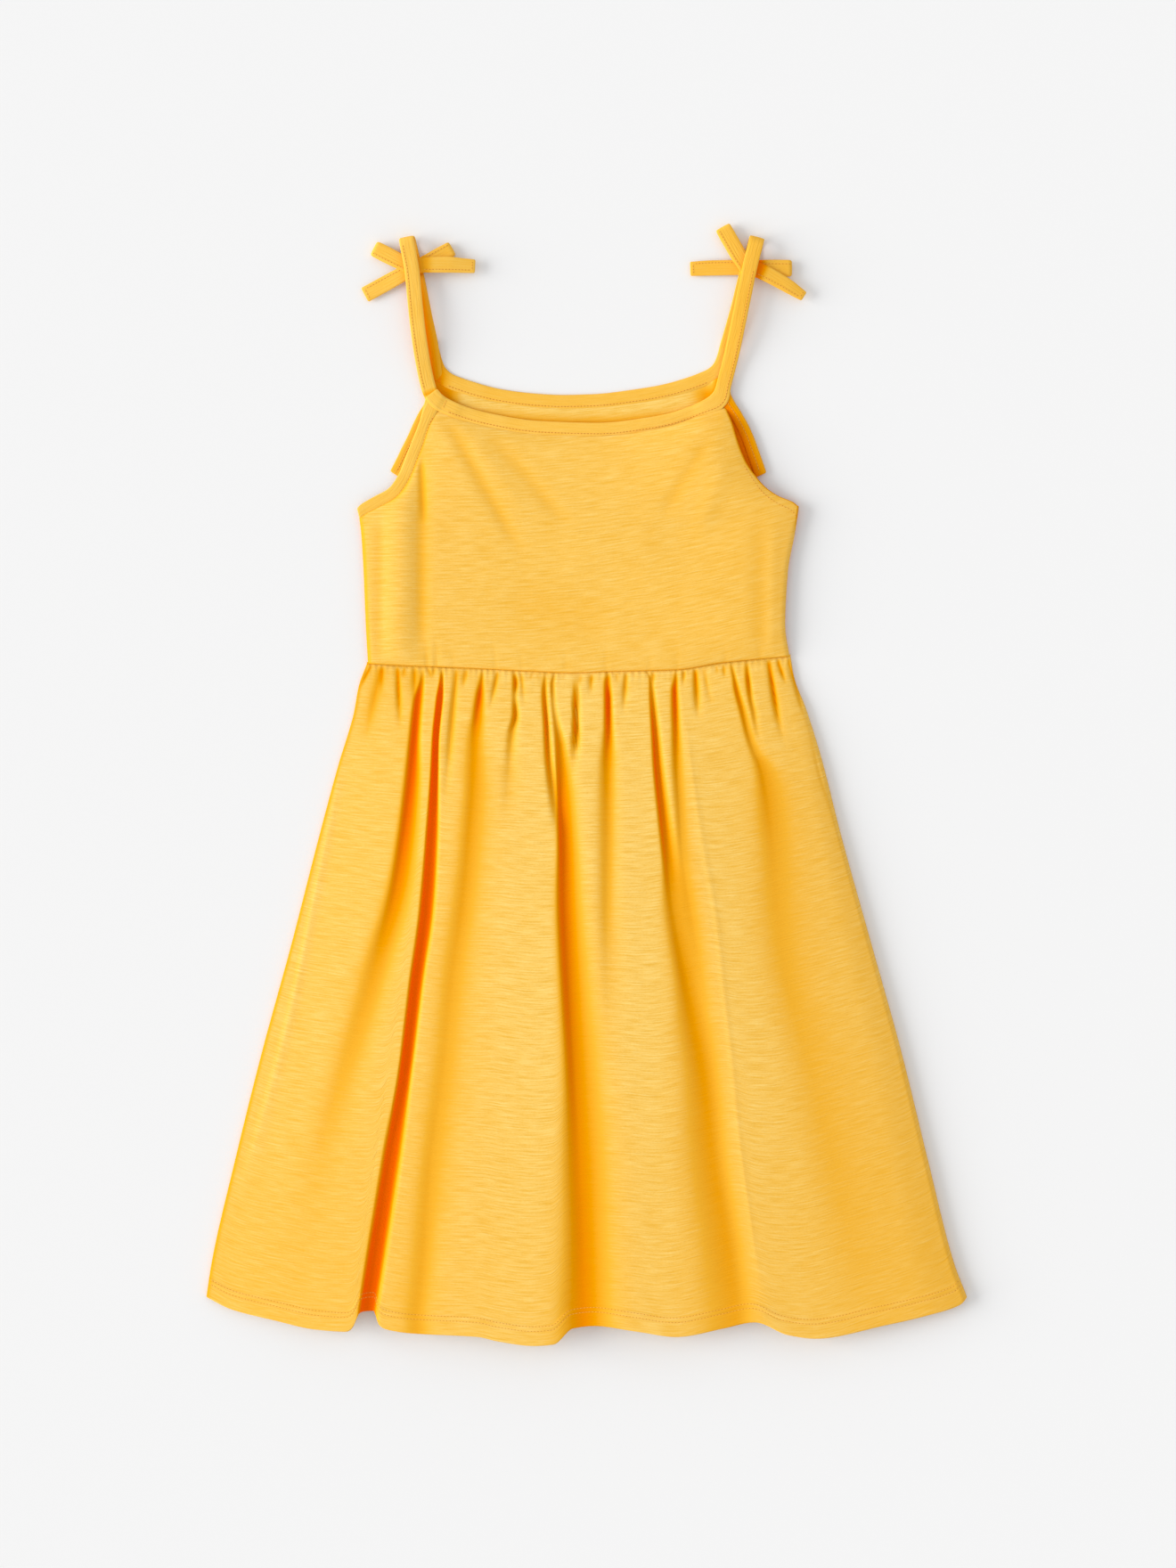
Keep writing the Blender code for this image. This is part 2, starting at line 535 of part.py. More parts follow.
def leaf(name, rows, material):
    """One loop or tail of a bow, as a helper that the knot takes in."""
    table = along(rows, 9)
    ahead = headings(table[:, :2])
    across = np.column_stack([-ahead[:, 1], ahead[:, 0], np.zeros(len(ahead))])
    helper = ribbon(name, table[:, :3], across, table[:, 3], table[:, 4], material)
    helper.hide_render = True
    helper.display_type = "WIRE"
    return helper


def bow(name, knot, leaves, material):
    """A knot with its loops and tails, joined into one body."""
    middle = np.column_stack([np.full(6, knot.x), knot.y + KNOT_LENGTH * np.linspace(-0.5, 0.5, 6),
                              np.full(6, KNOT_Z)])
    across = np.tile([-1.0, 0.0, 0.0], (6, 1))
    squeeze = np.array([0.7, 0.93, 1.0, 1.0, 0.93, 0.7])
    body = ribbon(name, middle, across, KNOT_WIDTH * squeeze, KNOT_HEIGHT * squeeze, material)
    for key, rows in leaves.items():
        union = body.modifiers.new(key, "BOOLEAN")
        union.operation = "UNION"
        union.solver = "EXACT"
        union.object = leaf(f"{name}_{key}", rows, material)
    return body


# ---------------------------------------------------------------- dress


def clear_scene():
    for item in list(bpy.data.objects):
        bpy.data.objects.remove(item, do_unlink=True)


def main():
    clear_scene()
    jersey = cloth_material("jersey", (0.93, 0.50, 0.08), 0.85)
    binding = cloth_material("jersey_binding", (0.92, 0.44, 0.06), 0.8)
    back_bodice(jersey)
    back_skirt(jersey)
    band("back_neck_binding", BACK_NECK, 0.0, binding)
    band("back_armhole_binding_left", BACK_ARM_LEFT, 0.0, binding)
    band("back_armhole_binding_right", BACK_ARM_RIGHT, 0.0, binding)
    front_bodice(jersey)
    front_skirt(jersey)
    band("front_neck_binding", FRONT_NECK, FRONT_UNDERSIDE, binding)
    band("front_armhole_binding_left", FRONT_ARM_LEFT, FRONT_UNDERSIDE, binding)
    band("front_armhole_binding_right", FRONT_ARM_RIGHT, FRONT_UNDERSIDE, binding)
    strap("strap_left", STRAP_LEFT_BACK, STRAP_LEFT_FRONT, binding)
    strap("strap_right", STRAP_RIGHT_BACK, STRAP_RIGHT_FRONT, binding)
    bow("bow_left", KNOT_LEFT, LEAVES_LEFT, binding)
    bow("bow_right", KNOT_RIGHT, LEAVES_RIGHT, binding)


main()
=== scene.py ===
# %% [markdown]
# # A child's sundress in slub jersey, laid flat
#
# The dress lies on its back. Its back panels rest on the surface, its front
# panels lie on them, and two straps run up to small bows. Nearly all that the
# eye reads is one cloth, a light cotton jersey knitted from slub yarn, so this
# lesson is about how thin cloth gathers, folds, rolls at its edges and is sewn.
#
# Lengths are in millimetres until a mesh is made. x runs across the dress, y
# runs up from the waist seam towards the straps, z runs up from the surface,
# and left is the side of lower x.

# %% Load the frame
from collections import namedtuple

import bpy
import numpy as np
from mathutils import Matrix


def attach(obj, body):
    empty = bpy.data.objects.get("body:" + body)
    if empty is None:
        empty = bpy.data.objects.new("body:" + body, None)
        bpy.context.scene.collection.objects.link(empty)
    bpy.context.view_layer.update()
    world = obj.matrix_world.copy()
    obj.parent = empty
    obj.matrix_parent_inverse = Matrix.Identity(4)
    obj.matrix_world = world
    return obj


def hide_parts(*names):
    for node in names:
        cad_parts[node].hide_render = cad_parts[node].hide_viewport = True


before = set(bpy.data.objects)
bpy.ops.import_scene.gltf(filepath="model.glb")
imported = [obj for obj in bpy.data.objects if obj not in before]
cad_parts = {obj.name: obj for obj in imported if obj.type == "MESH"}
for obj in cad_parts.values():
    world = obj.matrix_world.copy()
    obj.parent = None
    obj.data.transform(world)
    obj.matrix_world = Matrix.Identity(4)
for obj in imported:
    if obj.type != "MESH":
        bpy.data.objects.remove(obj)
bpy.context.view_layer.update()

MM = 0.001
MAP = "weave"         # the name of every piece's yarn map
MIDDLE = np.array([5.1, -80.5, 0.0])     # the frame's origin, in the dress's own millimetres

# %% [markdown]
# ## The camera, the light and the floor
#
# The dress is seen from straight above. A long lens keeps every part of it in
# the same scale. One broad, soft light comes in low from the left, as from a
# large window, and lights the folds from the side, which is what makes them
# show. The rest of the light comes evenly from all round.

# %% Camera
VIEW_HEIGHT = 1056.0          # what the camera takes in from top to bottom
LENS, SENSOR = 85.0, 36.0
AIM = (0.9, -0.5)             # the place in the frame that it looks straight down at

camera = bpy.data.objects.new("camera", bpy.data.cameras.new("camera"))
camera.data.lens = LENS
camera.data.sensor_width = SENSOR
camera.location = np.array([*AIM, VIEW_HEIGHT * LENS / SENSOR]) * MM
bpy.context.scene.collection.objects.link(camera)
bpy.context.scene.camera = camera
print("camera height:", round(camera.location.z, 3), "m")


# %% Colour and node helpers
def linear(code):
    """An sRGB hex colour as linear red, green, blue and alpha."""
    part = np.array([int(code[i:i + 2], 16) for i in (1, 3, 5)]) / 255
    low, high = part / 12.92, ((part + 0.055) / 1.055) ** 2.4
    return (*np.where(part <= 0.04045, low, high).tolist(), 1.0)


def add(tree, kind, sockets=None, **settings):
    """Adds a node. Each socket takes a number, a colour or another node's output."""
    node = tree.nodes.new(kind)
    for name, value in settings.items():
        setattr(node, name, value)
    for name, value in (sockets or {}).items():
        if isinstance(value, bpy.types.NodeSocket):
            tree.links.new(value, node.inputs[name])
        else:
            node.inputs[name].default_value = value
    return node


def new_material(name):
    """A material and its empty node tree."""
    material = bpy.data.materials.new(name)
    material.use_nodes = True
    material.node_tree.nodes.clear()
    return material, material.node_tree


# %% Light, air and floor
SUN_HEIGHT = 18.0             # degrees above the floor
SUN_SPREAD = 42.0             # degrees that the window takes up
SUN_POWER, SKY_POWER = 3.29, 0.725
FLOOR_HALF = 20.0             # metres

sun = bpy.data.objects.new("window_light", bpy.data.lights.new("window_light", "SUN"))
sun.data.energy = SUN_POWER
sun.data.angle = np.radians(SUN_SPREAD)
sun.rotation_euler = (0.0, -np.radians(90 - SUN_HEIGHT), 0.0)
bpy.context.scene.collection.objects.link(sun)

world = bpy.data.worlds.new("even_light")
world.use_nodes = True
sky = world.node_tree.nodes["Background"].inputs
sky["Color"].default_value, sky["Strength"].default_value = linear("#FFFFFF"), SKY_POWER
bpy.context.scene.world = world
bpy.context.scene.view_settings.view_transform = "Standard"

card, tree = new_material("matt_white_card")
paint = add(tree, "ShaderNodeBsdfPrincipled", {"Base Color": linear("#F0F0F0"), "Roughness": 0.9})
add(tree, "ShaderNodeOutputMaterial", {"Surface": paint.outputs["BSDF"]})
floor_mesh = bpy.data.meshes.new("floor")
floor_corners = [(x * FLOOR_HALF, y * FLOOR_HALF, 0) for x, y in ((-1, -1), (1, -1), (1, 1), (-1, 1))]
floor_mesh.from_pydata(floor_corners, [], [(0, 1, 2, 3)])
floor_mesh.materials.append(card)
floor = bpy.data.objects.new("floor", floor_mesh)
bpy.context.scene.collection.objects.link(floor)
print("floor:", 2 * FLOOR_HALF, "m wide; light:", SUN_POWER, "from the left and", SKY_POWER, "from all round")

# %% [markdown]
# ## Curves
#
# A garment's outline is a few places joined by a smooth line. The curve used
# here passes through every place and never swings past one, so that a straight
# side seam stays straight next to a curved armhole.

# %% Curve helpers
def smooth(at, knots, values):
    """A curve through the knots that never overshoots them.

    Each span is a cubic whose end slopes are the harmonic means of the
    slopes of the spans on either side, or level where those differ in sign.
    """
    at, knots, values = (np.asarray(a, float) for a in (at, knots, values))
    step = np.diff(knots)
    slope = np.diff(values) / step
    same = slope[:-1] * slope[1:] > 0
    total = np.where(same, slope[:-1] + slope[1:], 1.0)
    inner = np.where(same, 2 * slope[:-1] * slope[1:] / total, 0.0)
    tangent = np.concatenate([slope[:1], inner, slope[-1:]])
    span = np.clip(np.searchsorted(knots, at) - 1, 0, len(step) - 1)
    t = np.clip((at - knots[span]) / step[span], 0, 1)
    rise = 3 * t**2 - 2 * t**3
    out = t * (1 - t) ** 2 * tangent[span] * step[span]
    back = t**2 * (t - 1) * tangent[span + 1] * step[span]
    return values[span] * (1 - rise) + values[span + 1] * rise + out + back


def ease(t):
    """0 before 0, 1 after 1, and a smooth step between them."""
    t = np.clip(t, 0, 1)
    return t * t * (3 - 2 * t)


def roll_down(distance, reach):
    """The quarter round by which a sheet rolls down to its edge: 0 at the edge, 1 past reach."""
    t = np.clip(distance / reach, 0, 1)
    return np.sqrt(1 - (1 - t) ** 2)


def bump(offset, width, power=2.0):
    """A bell: 1 in the middle, 0 far off. A power over 2 makes its top flat and its sides steep."""
    return np.exp(-np.abs(offset / width) ** power)


def read_off(table, knots, at):
    """A table's columns as smooth curves over the knots, read off at each place."""
    return np.stack([smooth(at, knots, column) for column in np.transpose(table)], axis=1)


def refine(table, times, extra=()):
    """The smooth path through a table's rows, with more places between each two, and extra ones."""
    last = len(table) - 1
    return read_off(table, np.arange(last + 1), np.union1d(np.linspace(0, last, times * last + 1), extra))


def travelled(path):
    """How far along a path each of its places lies."""
    step = np.linalg.norm(np.diff(path, axis=0), axis=1)
    return np.concatenate([[0], np.cumsum(step)])


def along(points, count):
    """Evenly spaced places on the smooth path through the points."""
    length = travelled(points)
    return read_off(points, length, np.linspace(0, length[-1], count))


def headings(path):
    """The direction of a path at each of its places."""
    ahead = np.gradient(path, axis=0)
    return ahead / np.linalg.norm(ahead, axis=1, keepdims=True)


# %% [markdown]
# ## From a grid to a piece of cloth
#
# Every panel is one grid of places, rows down and columns across. A second
# grid a cloth's thickness below it, and a rim between the two, make a closed
# thin wall, as real cloth is. Blender's Solidify could add the second side, but
# a grid whose places are worked out one by one can be thinner at a seam, where the cloth is pressed.
# Each panel also carries two things for its material: a map of where the yarn
# runs, and the shade painted into its colour, deepest in folds and on slopes
# turned away from the window.

# %% Mesh helpers
Part = namedtuple("Part", "points faces weave hollow")


def joined(parts):
    """Several parts as one: their places in a row, and their faces numbered on."""
    first = np.concatenate([[0], np.cumsum([p.points.reshape(-1, 3).shape[0] for p in parts])])
    faces = [face + start for p, start in zip(parts, first) for face in p.faces]
    return Part(np.concatenate([p.points.reshape(-1, 3) for p in parts]), faces,
                np.concatenate([p.weave.reshape(-1, 2) for p in parts]),
                np.concatenate([p.hollow.ravel() for p in parts]))


def make_piece(name, part, material):
    """A mesh from a part's places and faces, moved into the frame, on the dress's one body."""
    placed = ((part.points.reshape(-1, 3) - MIDDLE) * MM).astype(np.float32)
    corners = np.concatenate([face.ravel() for face in part.faces]).astype(np.int32)
    sizes = np.concatenate([np.full(len(face), face.shape[1]) for face in part.faces])
    mesh = bpy.data.meshes.new(name)
    mesh.vertices.add(len(placed))
    mesh.vertices.foreach_set("co", placed.ravel())
    mesh.loops.add(len(corners))
    mesh.loops.foreach_set("vertex_index", corners)
    mesh.polygons.add(len(sizes))
    mesh.polygons.foreach_set("loop_start", (np.cumsum(sizes) - sizes).astype(np.int32))
    mesh.update(calc_edges=True)
    mesh.polygons.foreach_set("use_smooth", np.ones(len(sizes), bool))
    flat = (part.weave.reshape(-1, 2) * MM)[corners].astype(np.float32)
    mesh.uv_layers.new(name=MAP).data.foreach_set("uv", flat.ravel())
    # the shade painted into the colour, kept as an attribute that the materials read
    depth = mesh.attributes.new("hollow", "FLOAT", "POINT")
    depth.data.foreach_set("value", part.hollow.ravel().astype(np.float32))
    mesh.materials.append(material)
    piece = bpy.data.objects.new(name, mesh)
    bpy.context.scene.collection.objects.link(piece)
    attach(piece, "root")
    print(f"{name}: {int((sizes - 2).sum())} triangles")
    return piece


def grid_faces(rows, columns):
    """Quads between neighbouring rows and columns, turning to the left as seen from above."""
    i = np.arange(rows * columns).reshape(rows, columns)
    return np.stack([i[:-1, :-1], i[1:, :-1], i[1:, 1:], i[:-1, 1:]], axis=-1).reshape(-1, 4)


def wall(top, under, weave, hollow):
    """A closed thin wall between two grids: the upper side, the lower one, and the rim between."""
    rows, columns = top.shape[:2]
    count = rows * columns
    upper = grid_faces(rows, columns)
    i = np.arange(count).reshape(rows, columns)
    edge = np.concatenate([i[:-1, 0], i[-1, :-1], i[:0:-1, -1], i[0, :0:-1]])
    ahead = np.roll(edge, -1)
    rim = np.stack([ahead, edge, edge + count, ahead + count], axis=-1)
    return Part(np.stack([top, under]), [upper, upper[:, ::-1] + count, rim],
                np.stack([weave, weave]), np.stack([hollow, hollow]))


def area(top):
    """The square metres of cloth in a grid: the two edges of each cell, crossed."""
    cell = np.cross(np.diff(top, axis=0)[:, :-1], np.diff(top, axis=1)[:-1])
    return float(np.linalg.norm(cell, axis=2).sum()) * MM**2


def below(top, thickness):
    """The grid that lies a wall's thickness under a grid, square to it."""
    normal = np.cross(np.gradient(top, axis=0), np.gradient(top, axis=1))
    normal /= np.linalg.norm(normal, axis=2, keepdims=True)
    return top - np.broadcast_to(thickness, top.shape[:2])[..., None] * normal


# %% [markdown]
# ## The jersey
#
# Jersey is knitted from one yarn in fine rows. Slub yarn is spun unevenly, thick
# in one stretch and thin in the next, so each row shows short streaks a little
# darker or lighter than the cloth, all of them lying along the rows. Streaks
# like that are noise drawn far longer one way than the other. They have to bend
# with the cloth, so they read the panel's own yarn map, in real metres, and not
# a projection. Where two faces of a bright yellow cloth stand close together,
# light goes from one to the other and comes back orange. Path tracing gives
# part of that, and a painted shade kept on the mesh gives the rest: it deepens
# the colour in folds, and on slopes turned away from the window.

# %% The jersey's material
Streak = namedtuple("Streak", "length width detail seed share")

STREAKS = [Streak(14.0, 0.85, 2.0, 3.0, 0.6),         # slubs
           Streak(36.0, 1.2, 1.0, 11.0, 0.25),        # faint bands that run further
           Streak(1.6, 0.6, 1.0, 23.0, 0.15)]         # loops of the knit, drawn twice as coarse, to show
WANDER, WANDER_LENGTH = 0.8, 46.0                     # a row wanders by so much over so long a way
SLUB_HEIGHT = 0.2
THICK_STANDS = 0.2                                    # how much less of the painted shade a thick yarn takes
HONEY, AMBER, ORANGE = "#F5B432", "#EF9D00", "#FC6A00"    # painted shade: the cloth's colour ever deeper in folds and on slopes turned from the window


def slub_jersey(name, thin, even, thick):
    """Dyed cotton slub jersey: matt, with the short nap of a washed knit.

    Each kind of streak is noise drawn to its length and width, and the three
    are added by their shares. The colour goes from thin yarn to thick by their
    sum, and then through honey and amber to deep orange by the shade painted on
    the mesh, for folds and for slopes turned from the window: a thick yarn stands
    up a little, so it takes less of that painted shade.
    """
    material, tree = new_material(name)
    yarn = add(tree, "ShaderNodeUVMap", uv_map=MAP).outputs["UV"]
    place = add(tree, "ShaderNodeSeparateXYZ", {0: yarn}).outputs
    slow = add(tree, "ShaderNodeTexNoise", {"Vector": yarn, "Scale": 1 / (WANDER_LENGTH * MM), "Detail": 1.0})
    row = add(tree, "ShaderNodeMath", {0: slow.outputs["Fac"], 1: 2 * WANDER * MM, 2: place[1]},
              operation="MULTIPLY_ADD").outputs[0]
    yarns = 0.0
    for streak in STREAKS:
        u = add(tree, "ShaderNodeMath", {0: place[0], 1: 1 / (streak.length * MM)}, operation="MULTIPLY")
        v = add(tree, "ShaderNodeMath", {0: row, 1: 1 / (streak.width * MM)}, operation="MULTIPLY")
        at = add(tree, "ShaderNodeCombineXYZ", {0: u.outputs[0], 1: v.outputs[0], 2: streak.seed})
        noise = add(tree, "ShaderNodeTexNoise", {"Vector": at.outputs[0], "Scale": 1.0,
                                                 "Detail": streak.detail, "Roughness": 0.55})
        yarns = add(tree, "ShaderNodeMath", {0: noise.outputs["Fac"], 1: streak.share, 2: yarns},
                    operation="MULTIPLY_ADD").outputs[0]

    # the painted shade, a little less where the yarn is thick
    hollow = add(tree, "ShaderNodeAttribute", attribute_name="hollow").outputs["Fac"]
    depth = add(tree, "ShaderNodeMath", {0: yarns, 1: -THICK_STANDS, 2: hollow},
                operation="MULTIPLY_ADD").outputs[0]
    colour = linear(thin)
    # the yarns' own colours, then the painted shade
    yarn_and_shade_colours = [(yarns, 0.36, 0.5, even), (yarns, 0.5, 0.66, thick),
           (depth, -0.1, 0.15, HONEY), (depth, 0.15, 0.4, AMBER), (depth, 0.4, 0.9, ORANGE)]
    for value, low, high, code in yarn_and_shade_colours:
        share = add(tree, "ShaderNodeMapRange", {"Value": value, "From Min": low, "From Max": high})
        colour = add(tree, "ShaderNodeMix", {0: share.outputs["Result"], 6: colour, 7: linear(code)},
                     data_type="RGBA").outputs[2]

    height = add(tree, "ShaderNodeMapRange", {"Value": yarns, "From Min": 0.3, "From Max": 0.7})
    relief = add(tree, "ShaderNodeBump", {"Height": height.outputs["Result"], "Distance": SLUB_HEIGHT * MM,
                                          "Strength": 1.0})
    cloth = add(tree, "ShaderNodeBsdfPrincipled", {
        "Base Color": colour, "Roughness": 0.88, "IOR": 1.45, "Specular IOR Level": 0.25,
        "Specular Tint": colour, "Sheen Weight": 0.04, "Sheen Roughness": 0.5, "Sheen Tint": colour,
        "Normal": relief.outputs["Normal"]})
    add(tree, "ShaderNodeOutputMaterial", {"Surface": cloth.outputs["BSDF"]})
    print(f"{name}: {len(tree.nodes)} nodes")
    return material


jersey = slub_jersey("slub_jersey", "#F0BC4E", "#FACC66", "#FFD97C")
# The bands' copy of the jersey: less contrast from thin yarn to thick, and a deeper even colour that paints
# in some shade.
binding_jersey = slub_jersey("slub_jersey_binding", "#F6BD49", "#F9C352", "#FBC95C")


# %% [markdown]
# ## The outline
#
# The bodice is two panels with a square neck and cut-away armholes. Their edges
# run under bands: a folded strip of the same jersey sewn over each raw edge.
# So a band is given by its two edges, and the panel's edge follows from the
# band, a millimetre inside it.

# %% Outline tables
CLOTH = 0.85           # one layer of jersey
BAND = 1.3             # bindings and straps: four layers pressed flat
BACK_TOP = 0.9         # upper side of the back panels
FRONT_BAND_Z = 4.0     # middle of the front bindings, which lie over the back ones
BACK_BAND_Z = 1.05     # middle of the back bindings, which lie over the ends of the straps
FRONT_TOP = 4.4        # upper side of the front bodice
UNDER_BAND = 1.0       # how far a panel reaches in under its band

# The columns of a line's table are x and y.
WAIST = np.array([
    (-142, 0), (-114.5, -1.5), (-67, -3.5), (-28, -5.5), (-6, -6.3), (21, -5.5), (66, -4.2), (95, 0.3),
    (141.5, 5)])
SIDE_LEFT = np.array([(-142, 0), (-143.5, 27), (-145, 63), (-146.5, 87)])
SIDE_RIGHT = np.array([(141.5, 5), (138.5, 27), (140.5, 63), (145, 87)])
BACK_UNDERARM_LEFT = np.array([
    (-148, 99), (-145, 104), (-135.6, 110.1), (-125.4, 115.8), (-119.6, 121.6)])
BACK_UNDERARM_RIGHT = np.array([(146.4, 99), (143, 104.6), (134, 109.5), (124.6, 114.9), (118.2, 121.4)])

# The columns of a band's table are the x and y of its outer edge and the x and y of its inner edge.
FRONT_ARM_LEFT = np.array([
    (-105.2, 181.8, -95.6, 184.4), (-103.2, 178.2, -90.2, 179.6), (-105, 171.6, -95.2, 169.4),
    (-107.4, 162.6, -100.2, 160.2), (-112.8, 148.8, -105, 145.8), (-117, 138, -109.2, 135),
    (-122.4, 125.4, -114.8, 121.8), (-128.4, 117.6, -123, 111), (-138, 112.2, -134.4, 104.4),
    (-147, 106.8, -144.6, 99), (-149.4, 104.4, -147.4, 96.6)])
FRONT_ARM_RIGHT = np.array([
    (98.7, 171.9, 92.2, 168.8), (102.6, 162, 95.2, 159), (106.8, 148.2, 99.2, 145.4),
    (112.2, 135, 105, 131), (119.4, 124.8, 113.8, 119), (125.4, 118.2, 120.8, 111),
    (134.4, 112.2, 131, 104.4), (144, 108.3, 141, 100.4), (147.6, 105, 145.8, 96.8)])
BACK_ARM_LEFT = np.array([
    (-104.4, 190, -97.6, 186.6), (-103.4, 181, -97, 177.6), (-103.8, 176.4, -95.8, 172.6),
    (-108, 168.9, -100.2, 165), (-111.6, 161.6, -103.8, 158.4), (-115.2, 153.6, -107.8, 150.4),
    (-119.2, 145.6, -112, 142.2), (-123.6, 136.5, -116.4, 133.2), (-127.2, 129.6, -120, 124.8)])
BACK_ARM_RIGHT = np.array([
    (101.4, 190.4, 95.4, 187.6), (101.8, 182.4, 94.8, 179.6), (103.8, 177.6, 95.8, 174.4),
    (108.6, 169.8, 101.4, 166.2), (113.4, 161.4, 106.2, 157.8), (117.3, 153, 109.8, 150),
    (120.6, 144, 112.8, 141), (123.6, 135.6, 115.8, 132.6), (126, 128.4, 118.2, 124.8)])
FRONT_NECK = np.array([
    (-95.4, 184.8, -103.4, 178.6), (-92.8, 181.6, -99.8, 173.4), (-89.7, 179.1, -94.4, 169.6),
    (-76.5, 173, -79.5, 163.8), (-55.6, 167.5, -57.4, 158.1), (-26.1, 163.2, -26.9, 153.6),
    (12.9, 162, 13.1, 152.4), (42.3, 165, 43.7, 155.4), (61.7, 168.7, 64.3, 159.5),
    (79, 174.9, 83, 166.3), (86.6, 179, 96.4, 171.5), (90.6, 183, 101, 178.4), (92.2, 187.1, 101.9, 184.7)])
BACK_NECK = np.array([
    (-96, 219, -105.8, 216.4), (-93, 207, -102.6, 204), (-91, 201, -100, 196.2),
    (-88.6, 197.6, -95.6, 190.4), (-85, 194.8, -90, 186), (-78, 192, -81.6, 182.7),
    (-68.5, 188.9, -71.5, 179.4), (-54.1, 185.1, -55.9, 175.7), (-32.5, 182.1, -33.5, 172.5),
    (-10.9, 180.9, -11.1, 171.3), (10.7, 181.5, 11.3, 171.9), (32.4, 183.9, 33.6, 174.3),
    (54, 187.4, 56, 178), (68.6, 191.2, 71.4, 182), (80.4, 195.4, 83.4, 186.2), (86.5, 198.2, 92, 190.2),
    (89.5, 200.6, 97, 194.6), (91.4, 203.4, 100.4, 199.6), (93, 207.6, 102.6, 205),
    (96, 219, 105.8, 216.4)])
print("waist:", WAIST[-1, 0] - WAIST[0, 0], "mm wide; chest:", SIDE_RIGHT[-1, 0] - SIDE_LEFT[-1, 0], "mm")


# %% Panel grids
SEAM_ROWS = [0.012, 0.025, 0.04, 0.06, 0.09, 0.13]     # extra rows by the waist, in shares of 27 mm


def line_at(line, share):
    """The y of a line that runs from side to side, at a share of its width from the left."""
    return smooth(line[0, 0] + share * (line[-1, 0] - line[0, 0]), *line.T)


def band_edges(rows, times):
    """The outer and inner edges of a band as smooth paths."""
    edges = refine(rows, times)
    return edges[:, :2], edges[:, 2:]


def edge_under_band(rows):
    """The edge of the panel that a band is sewn over."""
    outer, inner = band_edges(rows, 2)
    outward = outer - inner
    return inner + UNDER_BAND * outward / np.linalg.norm(outward, axis=1, keepdims=True)


def panel_side(side, underarm, arm):
    """One side of a bodice panel from the waist up: side seam, underarm, edge under the band."""
    return np.concatenate([side, np.reshape(underarm, (-1, 2)), edge_under_band(arm)[::-1]])


def neck_edge(rows, left_end, right_end):
    """The panel's edge under a neck binding, from corner to corner."""
    path = edge_under_band(rows)
    inside = (path[:, 0] > left_end[0] + 1) & (path[:, 0] < right_end[0] - 1)
    return np.concatenate([[left_end], path[inside], [right_end]])


def bodice_grid(left, right, neck, times, columns):
    """Rows from the neck down to the waist seam.

    A row runs from side to side and bends by a mix of the waist's bend and
    the neck's, in the share of its height between them. A bend is what a line
    stands over the chord between its ends.
    """
    left, right = refine(left, times, SEAM_ROWS), refine(right, times, SEAM_ROWS)
    u = np.linspace(0, 1, columns)
    height = (left[:, 1] - left[0, 1]) / (left[-1, 1] - left[0, 1])
    low, high = (line_at(line, u) - line[0, 1] - u * (line[-1, 1] - line[0, 1]) for line in (WAIST, neck))
    x = left[:, :1] + u * (right[:, :1] - left[:, :1])
    y = left[:, 1:] + u * (right[:, 1:] - left[:, 1:])
    y = y + (1 - height[:, None]) * low + height[:, None] * high
    return np.dstack([x, y])[::-1]


# %% The yarn's run and the shade on a slope
ROW_LEAN, CURL_FROM = 0.02, -70.0     # a row's slope, and the x from where it grows
SOFT_AWAY, STEEP_AWAY = 0.2, 0.5      # shade on a soft slope away from the window, and on a steep one
LIT_SHADE = 0.15                      # shade on a steep slope towards it


def slanted_rows(flat, curl):
    """The yarn map of a panel: rows run across it, and climb to the right by a slope that grows."""
    x, y = flat[..., 0], flat[..., 1]
    return np.dstack([x, y - ROW_LEAN * x - curl * np.maximum(x - CURL_FROM, 0) ** 2])


def turned_away(top):
    """The shade of cloth that falls away from the window: a little on a soft slope, more on a steep one.

    Cloth that rises steeply towards the window gets a little as well, where it
    would be the brightest line on the dress.
    """
    across = np.gradient(top, axis=1)
    fall = -across[..., 2] / across[..., 0]
    away = SOFT_AWAY * ease(fall / 0.7) + STEEP_AWAY * ease((fall - 0.8) / 1.5)
    return away + LIT_SHADE * ease((-fall - 0.1) / 0.6)


def combined(*shades):
    """Several shares of shade as one, never over 1: each takes its share of what the others leave."""
    lit = 1.0
    for shade in shades:
        lit = lit * (1 - shade)
    return 1 - lit


# %% [markdown]
# ## The back bodice
#
# The back bodice lies flat on the surface and hardly shows: a strip below the
# back neck, a sliver inside each armhole. It is still a whole panel, because
# the cloth is there. The back skirt comes after the front skirt, since it lies
# in the same pleats.

# %% Back bodice
BODICE_CURL, SKIRT_CURL = 0.00062, 0.00012      # how fast the slope of the rows grows to the right
RIPPLE, NECK_RISE = 0.12, 0.7         # the cloth's slight waves, and how far it lifts between the two necks
ARM_STANDS = 2.0                      # how far it stands up inside the right armhole

